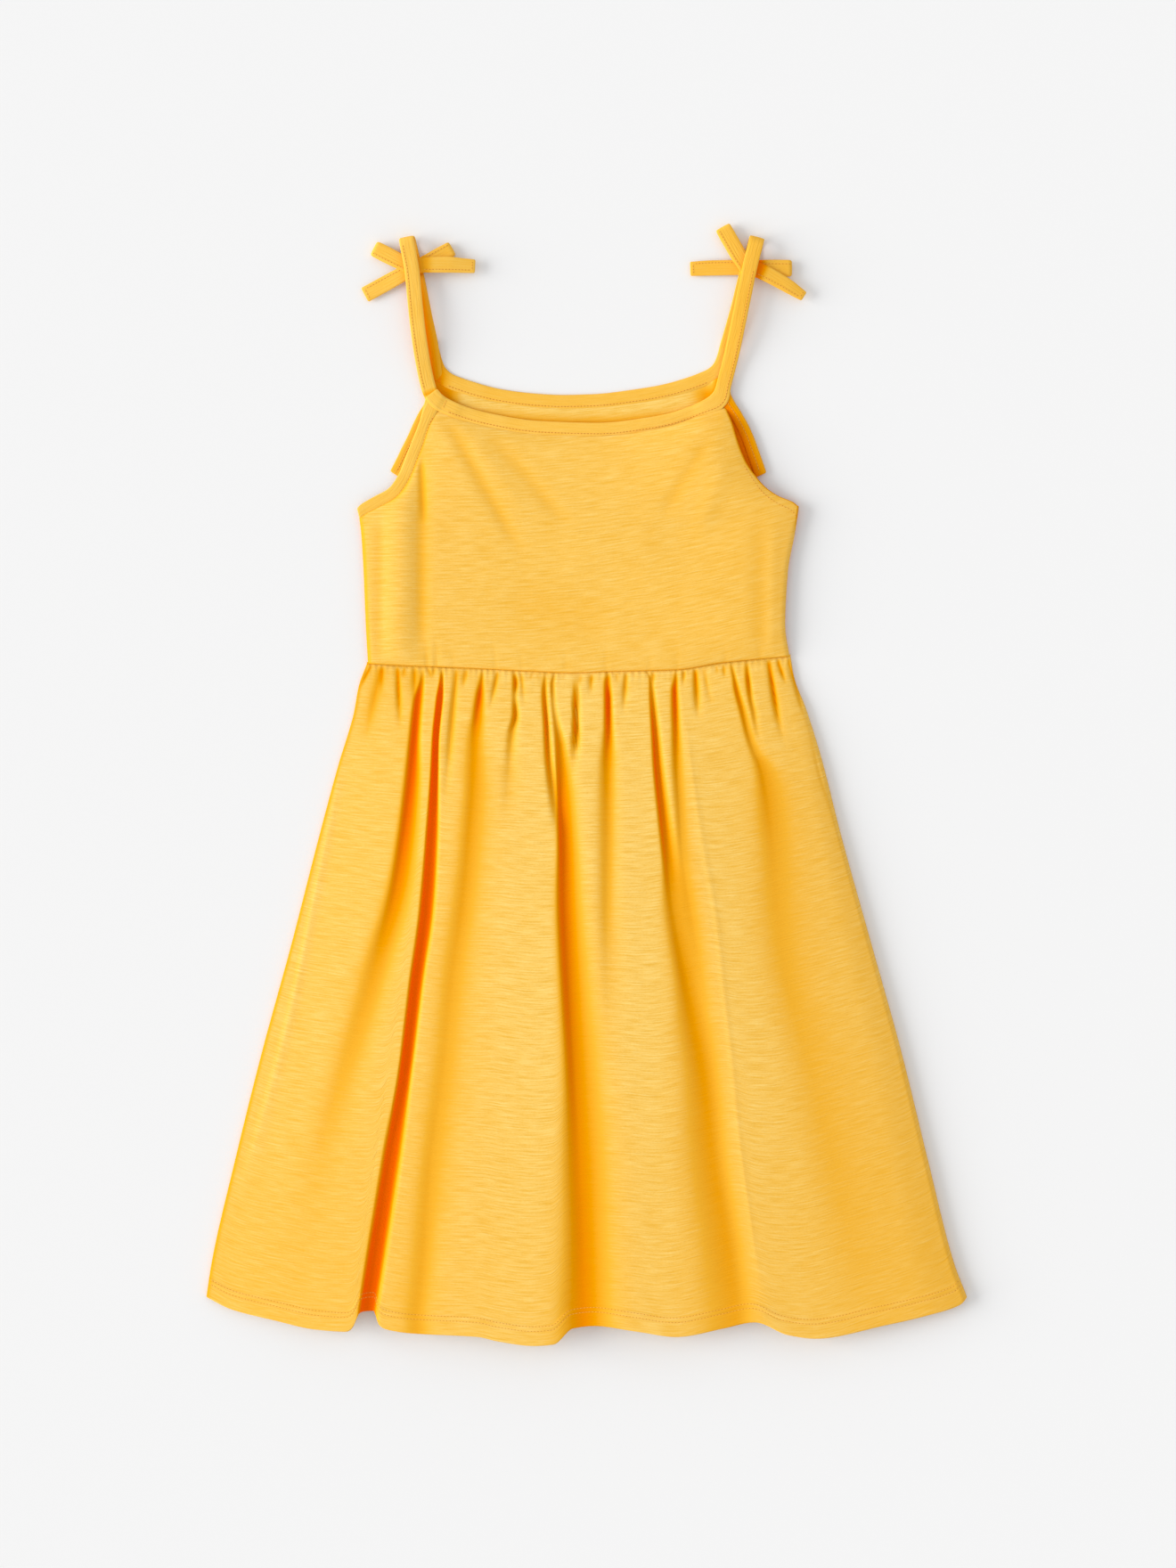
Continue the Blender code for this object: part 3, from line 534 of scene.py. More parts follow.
left = panel_side(SIDE_LEFT, BACK_UNDERARM_LEFT, BACK_ARM_LEFT)
right = panel_side(SIDE_RIGHT, BACK_UNDERARM_RIGHT, BACK_ARM_RIGHT)
flat = bodice_grid(left, right, neck_edge(BACK_NECK, left[-1], right[-1]), 3, 90)
x, y = flat[..., 0], flat[..., 1]
above_neck = y - 160 - x**2 / 900     # how far a place lies above the front's neck, which curves like this
raised = NECK_RISE * bump(above_neck - 8, 14) + ARM_STANDS * ease((x - 84) / 14) * ease((y - 90) / 20)
ripple = RIPPLE * np.sin(x / 9 + y / 23) * np.sin(y / 14)
top = np.dstack([flat, BACK_TOP - RIPPLE + ripple + raised])
under = np.dstack([flat, raised])
shade = combined(0.4 * bump(above_neck, 6),                                # just above the front's neck
                 0.6 * ease((-76 - x) / 14),                               # in the neck's left corner
                 0.5 * bump(np.hypot(x - 87, 1.3 * (y - 180.5)), 9),       # in its right corner
                 0.85 * ease((x - 88) / 8))                                # inside the right armhole
back_bodice = make_piece("back_bodice_cloth", wall(top, under, slanted_rows(flat, BODICE_CURL), shade),
                         jersey)
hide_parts("back_bodice")

# %% [markdown]
# ## The front bodice
#
# The front panel swells a little in the middle, rolls down at its side seams,
# and is drawn in by its bands. A few slack folds cross it: a long soft one
# inside the left side, and faint drags that run down from the neck's corners.
# Each is a line with a depth that fades to its ends.

# %% Creases
def creased(x, y, creases, power=2.0):
    """The height that creases add at each place: a bell across each line, faded at its ends.

    A crease is a row of x1, y1, x2, y2, its height, and the half width of its bell.
    """
    total = np.zeros(np.shape(x))
    for x1, y1, x2, y2, height, half in creases:
        run = np.array([x2 - x1, y2 - y1])
        length = np.linalg.norm(run)
        ahead = run / length
        s = ((x - x1) * ahead[0] + (y - y1) * ahead[1]) / length
        off = (x - x1) * ahead[1] - (y - y1) * ahead[0]
        total += height * ease(s / 0.3) * ease((1 - s) / 0.3) * bump(off, half, power)
    return total


# %% The front bodice's creases
BODICE_CREASES = [
    (-120, 158, -121.5, -30, 1.2, 9.5), (-106, 156, -106.5, -12, -0.85, 5.2),
    (-133, 118, -134, -14, -0.5, 4.5), (-97, 178, -34, 66, -0.55, 4.8), (-66, 162, -2, 86, -0.4, 5.2),
    (-106.8, 146, -104, 90, -0.75, 1.8), (-78, 160, -32, 96, 0.25, 5), (92, 158, 52, 93, -0.35, 5),
    (100, 142, 78, 80, 0.4, 7), (121, 112, 122, -14, -0.3, 6), (131, 104, 129, -16, 0.2, 4),
    (-20, 70, 70, 84, 0.35, 14), (-60, 42, 30, 28, -0.3, 15), (20, 60, 110, 40, 0.3, 13)]
SEAM_PUCKERS = [
    (-102.3, -6, -102, 14, -0.4, 1.3), (-96.2, -6, -95.4, 16, -0.4, 1.2),
    (-84, -8, -85.5, 10, -0.15, 1.2), (-56, -8, -57, 12, -0.18, 1.3), (-38, -10, -38.5, 8, -0.15, 1.2),
    (-9, -12, -8.5, 8, -0.15, 1.3), (18, -12, 18.5, 9, -0.18, 1.3), (47, -10, 48.5, 9, -0.18, 1.3),
    (66, -8, 66, 10, -0.15, 1.2), (98, -6, 99, 13, -0.18, 1.3), (121, -4, 122, 14, -0.18, 1.3)]

print("creases:", len(BODICE_CREASES), "in the panel and", len(SEAM_PUCKERS), "at the seam")

# %% The front bodice's grid
left = panel_side(SIDE_LEFT, [], FRONT_ARM_LEFT[2:])
right = np.concatenate([SIDE_RIGHT, band_edges(FRONT_ARM_RIGHT, 2)[0][::-1]])
flat = bodice_grid(left, right, neck_edge(FRONT_NECK, left[-1], right[-1]), 4, 185)
x, y = flat[..., 0], flat[..., 1]
from_left, from_right = x - x[:, :1], x[:, -1:] - x
inset = np.minimum(from_left, from_right)
to_waist, to_neck = y - smooth(x, *WAIST.T), y[:1] - y
at_side = 1 - ease((y - 88) / 10)     # 1 along the side seams and 0 along the armholes
print("front bodice grid:", x.shape)

# %% The front bodice's height
SWELL = 4.0                   # how far the middle swells up
SIDE_ROLL = 3.6               # reach of the roll at the side seams
EDGE_LOW = 3.2                # upper side of the cloth there
BAND_DIP, BAND_REACH = 0.3, 1.4       # how far the cloth dips to go in under a band, and from how far off
SEAM_DIP = 0.06               # and at the waist seam, once narrow and once wide
NECK_LOW = 0.7                # how much lower the neck's edge lies
SIDE_LIFT, ARM_LIFT = 2.0, 1.4        # how far the cloth stands up along its right side, and its armhole
LIFT_REACH = 56.0

share = np.linspace(1, 0, len(flat))[:, None]
across = 2 * from_left / (x[:, -1:] - x[:, :1]) - 1
swell = SWELL * (1 - np.abs(across) ** 7) * (4 * share * (1 - share)) ** 0.7
down = at_side * (1 - roll_down(inset, SIDE_ROLL)) * (FRONT_TOP - EDGE_LOW)
down += BAND_DIP * ((1 - at_side) * bump(from_left, BAND_REACH) + bump(to_neck, BAND_REACH))
down += SEAM_DIP * (bump(to_waist, 0.6) + bump(to_waist - 0.5, 1.6)) + NECK_LOW * bump(to_neck, 7)
lift = SIDE_LIFT * ease(to_waist / 20) + ARM_LIFT * ease((y - 106) / 14)
down -= lift * ease((174 - y) / 16) * bump(from_right, LIFT_REACH)
calm = ease(inset / 6) * ease(to_neck / 8) * ease(to_waist / 7)       # no long crease reaches an edge
creases = creased(x, y, BODICE_CREASES) * calm + creased(x, y, SEAM_PUCKERS, 1.5)
top = np.dstack([x, y, FRONT_TOP + swell - down + creases])
print("front bodice's highest place:", round(float(top[..., 2].max()), 1), "mm")

# %% Front bodice
clear = np.maximum(ease((from_right - 2) / 4), 1 - at_side)           # 0 on the roll at the right side
shade = combined(np.clip(-creases / 4.5, 0, 0.3),                     # in its creases
                 turned_away(top) * clear,
                 0.08 + 0.03 * ease((x + 20) / 150),                  # everywhere, and more to the right
                 0.55 * (1 - at_side) * bump(from_right, 0.9),        # the right armhole's turned edge
                 0.22 * bump(to_waist, 0.6) + 0.3 * bump(from_left, 1.6))     # the seam, and the left edge
thickness = CLOTH * (1 - 0.45 * bump(to_waist, 0.8))                  # pressed thin at the seam
front_bodice_top = top
panel = wall(top, below(top, thickness), slanted_rows(flat, BODICE_CURL), shade)
front_bodice = make_piece("front_bodice_cloth", panel, jersey)
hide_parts("front_bodice")

# %% [markdown]
# ## The skirt's outline
#
# The skirt is a plain rectangle gathered to half its width at the waist, so it
# spreads downwards by itself. Its places are told by two numbers: the share of
# the way down from seam to hem, and x. The hem dips under each ridge, because
# a ridge lies higher and hangs over, and rises in each valley.

# %% Skirt outline
SKIRT_LENGTH = 440.0

# The columns are the share of the way down and the x of the left and the right edge there.
SKIRT_SIDES = np.array([
    (0, -142.8, 142.2), (0.035, -148.2, 145), (0.08, -151.8, 152.4), (0.16, -162, 163.2),
    (0.275, -175.2, 175.8), (0.445, -193.8, 196.2), (0.615, -213.6, 216.6), (0.785, -231.6, 234.6),
    (0.945, -247.2, 252), (1, -250.8, 261)])
HEM = np.array([
    (-250.8, -426), (-234, -434), (-205, -441), (-176, -447), (-156, -448.2), (-152.4, -446.4),
    (-150, -442), (-147.8, -436.4), (-145.8, -435.2), (-137.8, -434.6), (-136.2, -438), (-134.4, -442.8),
    (-130.6, -445.8), (-123, -447.6), (-111.5, -449), (-68, -451), (-54, -454), (-30, -457), (-17, -456),
    (-4, -445.5), (11, -444), (39.5, -447.5), (65, -451), (97, -445.5), (118, -441.5), (140, -450),
    (158.5, -452.5), (205, -444), (234, -437.5), (255.5, -431), (261, -426)])
BACK_HEM = np.array([
    (-250, -425), (-200, -429.5), (-142, -433.5), (0, -438.5), (118, -437), (200, -432), (260.2, -425.2)])


def skirt_sides(down):
    """The skirt's left and right edges at each share of its length."""
    at, left, right = SKIRT_SIDES.T
    return smooth(down, at, left), smooth(down, at, right)


def skirt_y(down, x, hem):
    """The y of a place: between the waist seam and the hem below it, as the skirt flares."""
    left, right = skirt_sides(down)
    share = (x - left) / (right - left)
    top, low = line_at(WAIST, share), line_at(hem, share)
    return top + down * (low - top)


print("hem:", HEM[-1, 0] - HEM[0, 0], "mm wide")

# %% [markdown]
# ## Folds
#
# A fold is a valley between two ridges. It follows a line down the skirt, and
# along it the depth and the two half widths change, so it is written as a few
# stations, read off by a smooth curve. The valleys multiply: where two meet,
# the cloth is as low as both together, and never lower than the floor.
# A bell of power 2 is a soft trough, and of power 5 a slot with a flat floor.

# %% Fold tables
STATION = ["down", "x", "depth", "left", "right"]     # the columns of a fold's stations
Fold = namedtuple("Fold", "square tint stations")     # the bell's power, and how strongly its depth is painted into the colour as shade

FOLDS = {
    "left_deep": Fold(2.6, 1.2, [
        (4, -105, 0.1, 1.2, 1.2), (11, -105.6, 0.4, 1.3, 1.4), (25, -108.2, 0.9, 2.4, 2.6),
        (49, -110.4, 0.9, 2.8, 3), (75, -112.4, 0.85, 3.4, 5), (117, -117, 0.72, 3.8, 7.6),
        (153, -122.2, 0.57, 4.8, 9.6), (213, -137, 0.31, 8.6, 10.5), (273, -154.8, 0.18, 9, 12),
        (310, -166, 0.12, 8, 14), (360, -178, 0.04, 12, 14), (434, -192, 0, 12, 14)]),
    "left_open": Fold(5.0, 1.3, [
        (4, -92, 0.1, 0.9, 0.9), (11, -92.4, 0.5, 1, 1.1), (25, -93.6, 0.85, 1.9, 2),
        (51, -96.2, 0.8, 1.9, 2), (75, -97, 0.8, 2.2, 2.4), (117, -98.8, 0.78, 3.3, 3.7),
        (165, -102.2, 0.78, 3.9, 4.4), (213, -109, 0.78, 3.7, 4.2), (273, -116.6, 0.78, 3.4, 4.2),
        (333, -125.8, 0.8, 4.8, 5.6), (393, -135.4, 0.9, 4.8, 5.8), (434, -141.8, 1, 4.6, 5.4)]),
    "left_soft": Fold(2.0, 2.0, [
        (4, -65, 0.1, 1.1, 1.1), (10, -65.4, 0.24, 1.3, 1.3), (22, -66.8, 0.5, 2, 2.6),
        (34, -68.4, 0.42, 2.3, 4), (53, -69.8, 0.27, 4.4, 6), (74, -70, 0.25, 5, 9),
        (117, -72.4, 0.22, 5.5, 12), (165, -77, 0.2, 7, 12), (213, -83.6, 0.17, 8, 14),
        (273, -89.8, 0.15, 8, 16), (333, -98, 0.15, 7, 14), (412, -104.6, 0.145, 8, 9),
        (434, -107.2, 0.14, 8, 9)]),
    "left_notch": Fold(1.8, 1.2, [
        (4, -43.8, 0.2, 0.9, 1.1), (13, -42.8, 0.66, 1.1, 1.4), (22, -43.4, 0.24, 1.1, 1.4),
        (34, -43, 0.52, 1.2, 1.8), (48, -45.8, 0.28, 1.8, 2.8), (63, -46.8, 0.17, 2.4, 4),
        (80, -47.2, 0.13, 4, 6), (105, -48.5, 0, 4, 6)]),
    "centre_pinch": Fold(1.8, 1.2, [
        (4, -23, 0.15, 1, 1.1), (9, -23, 0.25, 1.1, 1.2), (18, -23.4, 0.46, 1.2, 1.4),
        (41, -22, 0.55, 1.3, 1.5), (63, -20.8, 0.44, 1.6, 2), (94, -16.5, 0.25, 2.4, 3),
        (111, -14, 0, 3, 3)]),
    "centre_deep": Fold(2.3, 1.25, [
        (4, -15.4, 0.1, 1, 1.1), (14, -18, 0.3, 1.1, 1.4), (27, -17.2, 0.15, 1.3, 1.7),
        (40, -15.4, 0.23, 1.6, 2.2), (52, -13.8, 0.42, 1.8, 3.6), (66, -13, 0.5, 2, 5.5),
        (84, -12.4, 0.61, 2, 8), (117, -11.4, 0.7, 2, 9.5), (165, -9.8, 0.69, 3.4, 11.5),
        (213, -7.2, 0.64, 3.6, 14), (273, -2.8, 0.56, 4.8, 17), (333, 1.2, 0.52, 8.4, 18),
        (393, 4, 0.52, 10.5, 17), (434, 5, 0.52, 13, 17)]),
    "centre_notch": Fold(1.8, 1.2, [
        (3, -2.4, 0, 1, 1.1), (11, -2.2, 0.12, 1, 1.2), (18, -2.2, 0.5, 1, 1.3), (26, -2.2, 0.72, 1, 1.3),
        (43, -2.2, 0.7, 1.3, 1.6), (52, -2.6, 0.5, 1.7, 2.2), (62, -4, 0.14, 2.5, 3), (75, -5, 0, 2.5, 3)]),
    "centre_right": Fold(2.0, 1.6, [
        (3, 18, 0.3, 1.1, 1.3), (8, 19.4, 0.38, 1.3, 1.6), (13, 19, 0.5, 1.6, 2),
        (24, 19.4, 0.7, 1.6, 2.1), (44, 19.5, 0.55, 1.9, 2.7), (68, 19.2, 0.36, 4, 5),
        (117, 19.4, 0.24, 5, 6), (165, 19.2, 0.18, 5, 7), (213, 20, 0.07, 5, 9), (280, 22, 0, 5, 9),
        (434, 26, 0, 4, 7)]),
    "right_deep": Fold(2.2, 1.25, [
        (4, 45, 0.1, 1, 1.2), (10, 48, 0.26, 1, 1.4), (23, 48.8, 0.42, 1.2, 2),
        (49, 50.6, 0.61, 1.4, 2.8), (68, 51.8, 0.63, 1.6, 3.6), (97, 54.8, 0.6, 1.8, 4.4),
        (128, 58.2, 0.51, 2, 6.5), (165, 63.6, 0.36, 4.6, 12), (213, 73, 0.41, 6.5, 13),
        (240, 78.4, 0.41, 9.5, 13), (273, 85, 0.4, 12, 12), (333, 92, 0.36, 16, 11),
        (393, 102, 0.33, 18, 11), (434, 107, 0.29, 20, 12)]),
    "right_twin": Fold(1.9, 1.7, [
        (3, 65, 0.15, 1, 1.2), (9, 65, 0.3, 1.1, 1.3), (18, 64.2, 0.58, 1.4, 1.8),
        (46, 64.8, 0.41, 1.8, 2.8), (68, 65.4, 0.29, 2.4, 4.5), (97, 67.4, 0.21, 2.8, 6),
        (128, 69.4, 0.18, 3.4, 8), (165, 75, 0.14, 4.5, 9), (206, 83, 0.05, 5, 9), (240, 90, 0, 5, 9),
        (434, 127, 0, 4, 7)]),
    "right_soft": Fold(2.0, 1.5, [
        (0, 102, 0.2, 1, 1.3), (9, 104.2, 0.3, 1.1, 1.5), (17, 105.6, 0.42, 1.3, 1.9),
        (32, 109.6, 0.34, 1.6, 2.6), (47, 113.2, 0.26, 1.8, 3.4), (58, 117, 0.22, 2.4, 5),
        (68, 121.8, 0.28, 3, 9), (82, 125.6, 0.29, 4.4, 13), (102, 129, 0.26, 7, 14),
        (128, 132, 0.2, 9, 16), (165, 135, 0.17, 12, 18), (213, 142, 0.15, 13, 20),
        (273, 158, 0.12, 15, 26), (340, 173, 0.1, 17, 26), (434, 194, 0.04, 18, 26)]),
    "right_branch": Fold(1.8, 1.2, [
        (0, 112.8, 0.3, 0.9, 1.1), (11, 113.6, 0.6, 1.1, 1.3), (23, 115, 0.36, 1.2, 1.6),
        (35, 117.6, 0.22, 1.5, 2), (52, 119.6, 0, 1.5, 2)])}

# Fine ridges: a depth here is a height in millimetres.
CRESTS = {
    "left_allowance": Fold(2.0, 0, [
        (60, -158, 0, 1.6, 3), (105, -167.4, 0.3, 1.6, 3.2), (153, -177.4, 0.45, 1.7, 3.4),
        (213, -189.6, 0.5, 1.8, 3.6), (261, -201, 0.45, 2, 4), (316, -216, 0.3, 2.4, 5),
        (360, -228, 0, 3, 7), (434, -240, 0, 3, 7)]),
    "right_line": Fold(1.6, 0, [
        (40, 72, 0, 1.6, 1.6), (72, 75.6, 0.2, 1.6, 1.6), (117, 82.2, 0.25, 1.6, 1.6),
        (171, 91.8, 0.28, 1.6, 1.6), (222, 97.2, 0.28, 1.6, 1.6), (264, 102, 0.25, 1.8, 1.8),
        (314, 106.8, 0.22, 1.8, 2), (376, 115.2, 0.2, 2, 2), (428, 123, 0, 2, 2), (434, 124, 0, 2, 2)]),
    "right_groove": Fold(2.0, 0, [
        (0, 140, 0, 1.3, 1.3), (9.6, 143.4, -0.3, 1.3, 1.3), (26.4, 149.4, -0.35, 1.4, 1.4),
        (45, 156, -0.35, 1.5, 1.5), (72, 161.4, -0.35, 1.6, 1.6), (99, 170.4, -0.3, 1.6, 1.6),
        (144, 184.8, -0.2, 1.8, 1.8), (176, 193, 0, 1.8, 1.8), (434, 240, 0, 1.8, 1.8)])}

print("folds:", len(FOLDS), "and fine ridges:", len(CRESTS))


# %% Reading off a fold
def station(fold, name, down):
    """One of a fold's measures at each distance below the waist line."""
    table = np.array(fold.stations, float)
    return smooth(down, table[:, 0], table[:, STATION.index(name)])


def trough(fold, x, down, soft=0.0, lead=0.0):
    """A fold's depth at each place: a bell across its line, with its own half width on each side.

    The bell's power goes from the fold's own towards 1 by a share called soft,
    and its left half is wider by lead.
    """
    offset = x - station(fold, "x", down)
    half = np.where(offset < 0, station(fold, "left", down) + lead, station(fold, "right", down))
    return station(fold, "depth", down) * bump(offset, half, fold.square + (1 - fold.square) * soft)


# %% Gathers
PAST_DARKEST = 0.3            # a fold looks darkest on its left wall: its bottom lies so far to the right
GATHER_OPENS = 0.6            # how much wider a gather is at its end than at the seam
# The columns are a gather's x at the seam and at its end, how far down that is, its depth and half width.
GATHERS = [
    (-139.6, -149, 19, 0.6, 0.9), (-132.8, -133.8, 22, 0.5, 1), (-133, -146, 60, 0.36, 2.8),
    (-122.6, -120.4, 48, 0.66, 1.2), (-117.6, -118.6, 12, 0.5, 0.9), (-111, -111, 30, 0.45, 2),
    (-102.8, -98.8, 12, 0.4, 1), (-97.4, -98.8, 10, 0.5, 0.9), (-82.4, -90.6, 96, 0.4, 1.4),
    (-75.6, -79, 19, 0.5, 1.1), (-54, -60.4, 33, 0.42, 1.2), (-31.2, -33, 13, 0.5, 0.9),
    (-40, -36.8, 30, 0.32, 1.1), (-28.4, -27.8, 13, 0.35, 0.8), (-10.6, -11, 13, 0.35, 0.8),
    (1, -0.6, 18, 0.5, 0.9), (8.6, 7, 24, 0.55, 1), (25, 25.2, 15, 0.42, 0.9),
    (31.6, 29.4, 36, 0.45, 1.2), (37, 37, 11, 0.3, 0.8), (49.4, 49.2, 16, 0.6, 1),
    (70.6, 69.6, 16, 0.5, 0.9), (77.6, 79.8, 40, 0.66, 1.2), (83, 89, 32, 0.22, 1),
    (92, 92.4, 9, 0.3, 0.8), (96.8, 97.6, 11, 0.4, 0.9), (127.4, 136, 54, 0.75, 1.2),
    (134, 139, 15, 0.6, 1), (141, 152, 38, 0.45, 1)]


def gathered(x, down):
    """The share of its height that the cloth keeps between gathers.

    Each gather is a narrow crease whose sides meet in an edge, deepest at the
    seam and gone at its end.
    """
    kept = np.ones(x.shape)
    for x_seam, x_end, end, depth, half in GATHERS:
        line = x_seam + (x_end - x_seam) * np.clip(down / end, 0, 1.5) + PAST_DARKEST
        strength = depth * ease((end - down) / (0.7 * end))
        kept *= 1 - strength * bump(x - line, half * (1 + GATHER_OPENS * down / end), 1.3)
    return kept


print("gathers:", len(GATHERS))

# %% Rows and columns of the skirt
HEM_STITCHES = (9.6, 12.6)    # the two rows of stitches, above the hem's edge
AT_SEAM = [-1.2, -0.6, 0, 0.5, 1.1, 1.8, 2.6]                         # rows, in mm below the seam
TO_EDGE = [18, 16, 14.6, 13.7, 13.1, 12.6, 12.1, 11.5, 11, 10.6, 10.1, 9.6, 9.1, 8.5, 7.4, 5.8, 4.2, 2.8,
           1.7, 0.9, 0.35, 0]                                         # rows, in mm above the hem's edge
ANCHORS = ["left_deep", "left_open", "left_soft", "centre_deep", "centre_right",
           "right_deep", "right_twin", "right_soft"]                  # where columns are drawn together
COLUMNS_BETWEEN = [52, 30, 30, 78, 30, 48, 18, 50, 54]                # how many lie between each two of them
DRAWN_TOGETHER = 0.45         # spacing next to an anchor, as a share of the even spacing

rows = np.concatenate([AT_SEAM, np.linspace(3.5, 40, 38), np.linspace(40, SKIRT_LENGTH - 20, 58)[1:],
                       SKIRT_LENGTH - np.array(TO_EDGE)])
downs = (rows / SKIRT_LENGTH)[:, None]


def columns_between(edges, counts):
    """Places from edge to edge across each row, drawn together at every edge.

    In a gap, the place at share t is t less a sine wave, whose slope at both
    ends is what DRAWN_TOGETHER says.
    """
    parts = []
    for start, stop, count in zip(edges[:-1], edges[1:], counts):
        t = np.arange(count) / count
        t = t - (1 - DRAWN_TOGETHER) * np.sin(2 * np.pi * t) / (2 * np.pi)
        parts.append(start + (stop - start) * t)
    return np.concatenate([*parts, edges[-1]], axis=1)


def anchored_columns(downs):
    """The x of every place of the front skirt's grid."""
    left, right = skirt_sides(downs)
    edges = [left]
    for name in ANCHORS:
        line = (left + right) / 2
        for _ in range(3):      # a line is known by y, and y depends a little on x
            line = station(FOLDS[name], "x", -skirt_y(downs, line, HEM))
        edges.append(line)
    return columns_between([*edges, right], COLUMNS_BETWEEN)


x = anchored_columns(downs)
y = skirt_y(downs, x, HEM)
print("front skirt grid:", x.shape, "narrowest column", round(float(np.diff(x, axis=1).min()), 2), "mm")

# %% [markdown]
# ## The front skirt's surface
#
# Its height starts from the ridges, which are low at the seam and stand 17 mm
# above the floor at the hem. It rolls down at both sides, and every fold and
# gather takes away its share.

# %% The ridges
SKIRT_LOW = 1.9               # upper side of the cloth where a valley touches the back panel
DROP = (0.9, 0.58)            # share of their height that the ridges lose towards the left and right side
ROLL = (1.8, 3.2)             # reach of the roll at the left side, and at the right
SLOPE_OFF = 0.26              # share of its height that the skirt loses just inside its right side
RIDGES = np.array([           # the share of the way down, and the ridges' height there
    (0, 1.75), (0.015, 3.4), (0.04, 6), (0.15, 10), (0.4, 13.5), (1, 15.5)])

left, right = skirt_sides(downs)
from_left, from_right = x - left, right - x
middle_share = 2 * from_left / (right - left) - 1
at_left = middle_share < 0
reach = np.where(at_left, *ROLL) * (0.4 + 0.6 * ease(downs / 0.2))
dome = 1 - np.where(at_left, *DROP) * np.abs(middle_share) ** 2.2
height = smooth(downs, *RIDGES.T) * dome * roll_down(np.minimum(from_left, from_right), reach)
height *= 1 - SLOPE_OFF * np.clip(1 - from_right / (9 + 21 * downs), 0, 1) ** 2
print("ridges:", round(float(height.max()), 1), "mm high")

# %% Folds and gathers cut into the ridges
SHALLOW = 0.62                # how much shallower a wide fold is than its shade makes it look
PRESSED = 0.35                # height that is left in a gather, which the seam presses together
SOFT = 0.5                    # how much softer than the fold itself the shade of a wide fold is
SHADE_SHIFT = 2.4             # and how far left of the fold's bottom it lies
SHADE_LEAD = 0.9              # how much sooner the shade starts than a fold's left wall

down_mm = -y
valleys, unshaded = np.ones(x.shape), np.ones(x.shape)
for fold in FOLDS.values():
    half = (station(fold, "left", down_mm) + station(fold, "right", down_mm)) / 2
    valleys *= 1 - trough(fold, x - PAST_DARKEST, down_mm) * (1 - SHALLOW * ease(0.35 + half / 10))
    wide = ease((half - 3) / 8)
    shade = trough(fold, x + SHADE_SHIFT * wide, down_mm, SOFT * wide, SHADE_LEAD)
    unshaded *= 1 - np.clip(fold.tint * shade, 0, 1)
below_seam = down_mm + smooth(x, *WAIST.T)
kept = 1 - (1 - gathered(x, down_mm)) * ease(below_seam / 2.2)
height *= valleys * (PRESSED + (1 - PRESSED) * kept)
print("of the ridges' height, folds and gathers leave", round(float((valleys * kept).mean()), 2))

# %% The seam's puckers, the fine ridges and the hem
PUCKER, PUCKER_PITCH, PUCKER_FADE = 0.2, 4.2, 4.0     # small waves below the seam, uneven in their pitch
HEM_STEP, HEM_WIDTH = 0.35, 14.0                      # the turned-up hem: a second layer of cloth
STITCH_DIP = 0.22                                     # each row of stitches sinks in a little
EDGE_THIN, EDGE_REACH = 0.6, 0.9                      # how much thinner the cloth is at the hem's edge

pucker = PUCKER * np.sin(2 * np.pi * x / PUCKER_PITCH + 1.5 * np.sin(x / 11))
height += pucker * np.exp(-np.maximum(below_seam, 0) / PUCKER_FADE) * ease(below_seam / 1.5 + 0.3)
height += sum(trough(crest, x, down_mm) for crest in CRESTS.values())
edge = SKIRT_LENGTH * (1 - downs)
height += HEM_STEP * ease((HEM_WIDTH - edge) / 1.2)
height -= STITCH_DIP * sum(bump(edge - line, 0.5) for line in HEM_STITCHES)
at_edge = 1 - roll_down(edge, EDGE_REACH)
thickness = CLOTH * (1 - EDGE_THIN * at_edge)
top = np.dstack([x, y, SKIRT_LOW + height - 0.5 * at_edge])
front_skirt_top = top
print("front skirt's highest place:", round(float(top[..., 2].max()), 1), "mm")

# %% Front skirt
SHADED = 1.15                 # how much more a gather shades than it takes from the height
# Painted shade: the cloth's colour is deepened towards orange in folds and gathers, at the seam, towards both
# sides and the hem, at the left edge and on slopes turned from the window.
hollow = np.clip(1 - unshaded * (1 + SHADED * (kept - 1)), 0, 1) ** 1.05 * ease(below_seam / 6 + 0.12)
hollow = combined(hollow,
                  0.2 * bump(below_seam, 0.7),                                # the seam
                  (0.05 + 0.03 * at_left) * ease(1.3 * np.abs(middle_share))  # towards both sides
                  + 0.3 * bump(from_left, 1.8),                               # the left edge
                  0.06 * ease((downs - 0.5) / 0.5))                           # towards the hem
hollow = hollow * (1 - 1.7 * trough(CRESTS["left_allowance"], x, down_mm))    # the painted shade is lifted on its fine ridge: a painted highlight
hollow = combined(hollow,
                  0.06 * ease(1.1 - from_right / 80) * ease(0.3 + downs / 0.4),       # towards the right side
                  turned_away(top) * ease((from_right - 1.5) / 2.5))
weave = slanted_rows(np.dstack([x, edge + 0 * x]), SKIRT_CURL)
front_skirt = make_piece("front_skirt_cloth", wall(top, below(top, thickness), weave, hollow),
                         jersey)
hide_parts("front_skirt")

# %% Back skirt
BACK_LOW = 0.8                # upper side of the cloth where a valley touches the surface
BACK_PLEAT = 0.88             # height of its pleats, as a share of the front ridges they lie under
BACK_INSET = 0.4              # how far its sides lie inside the front's

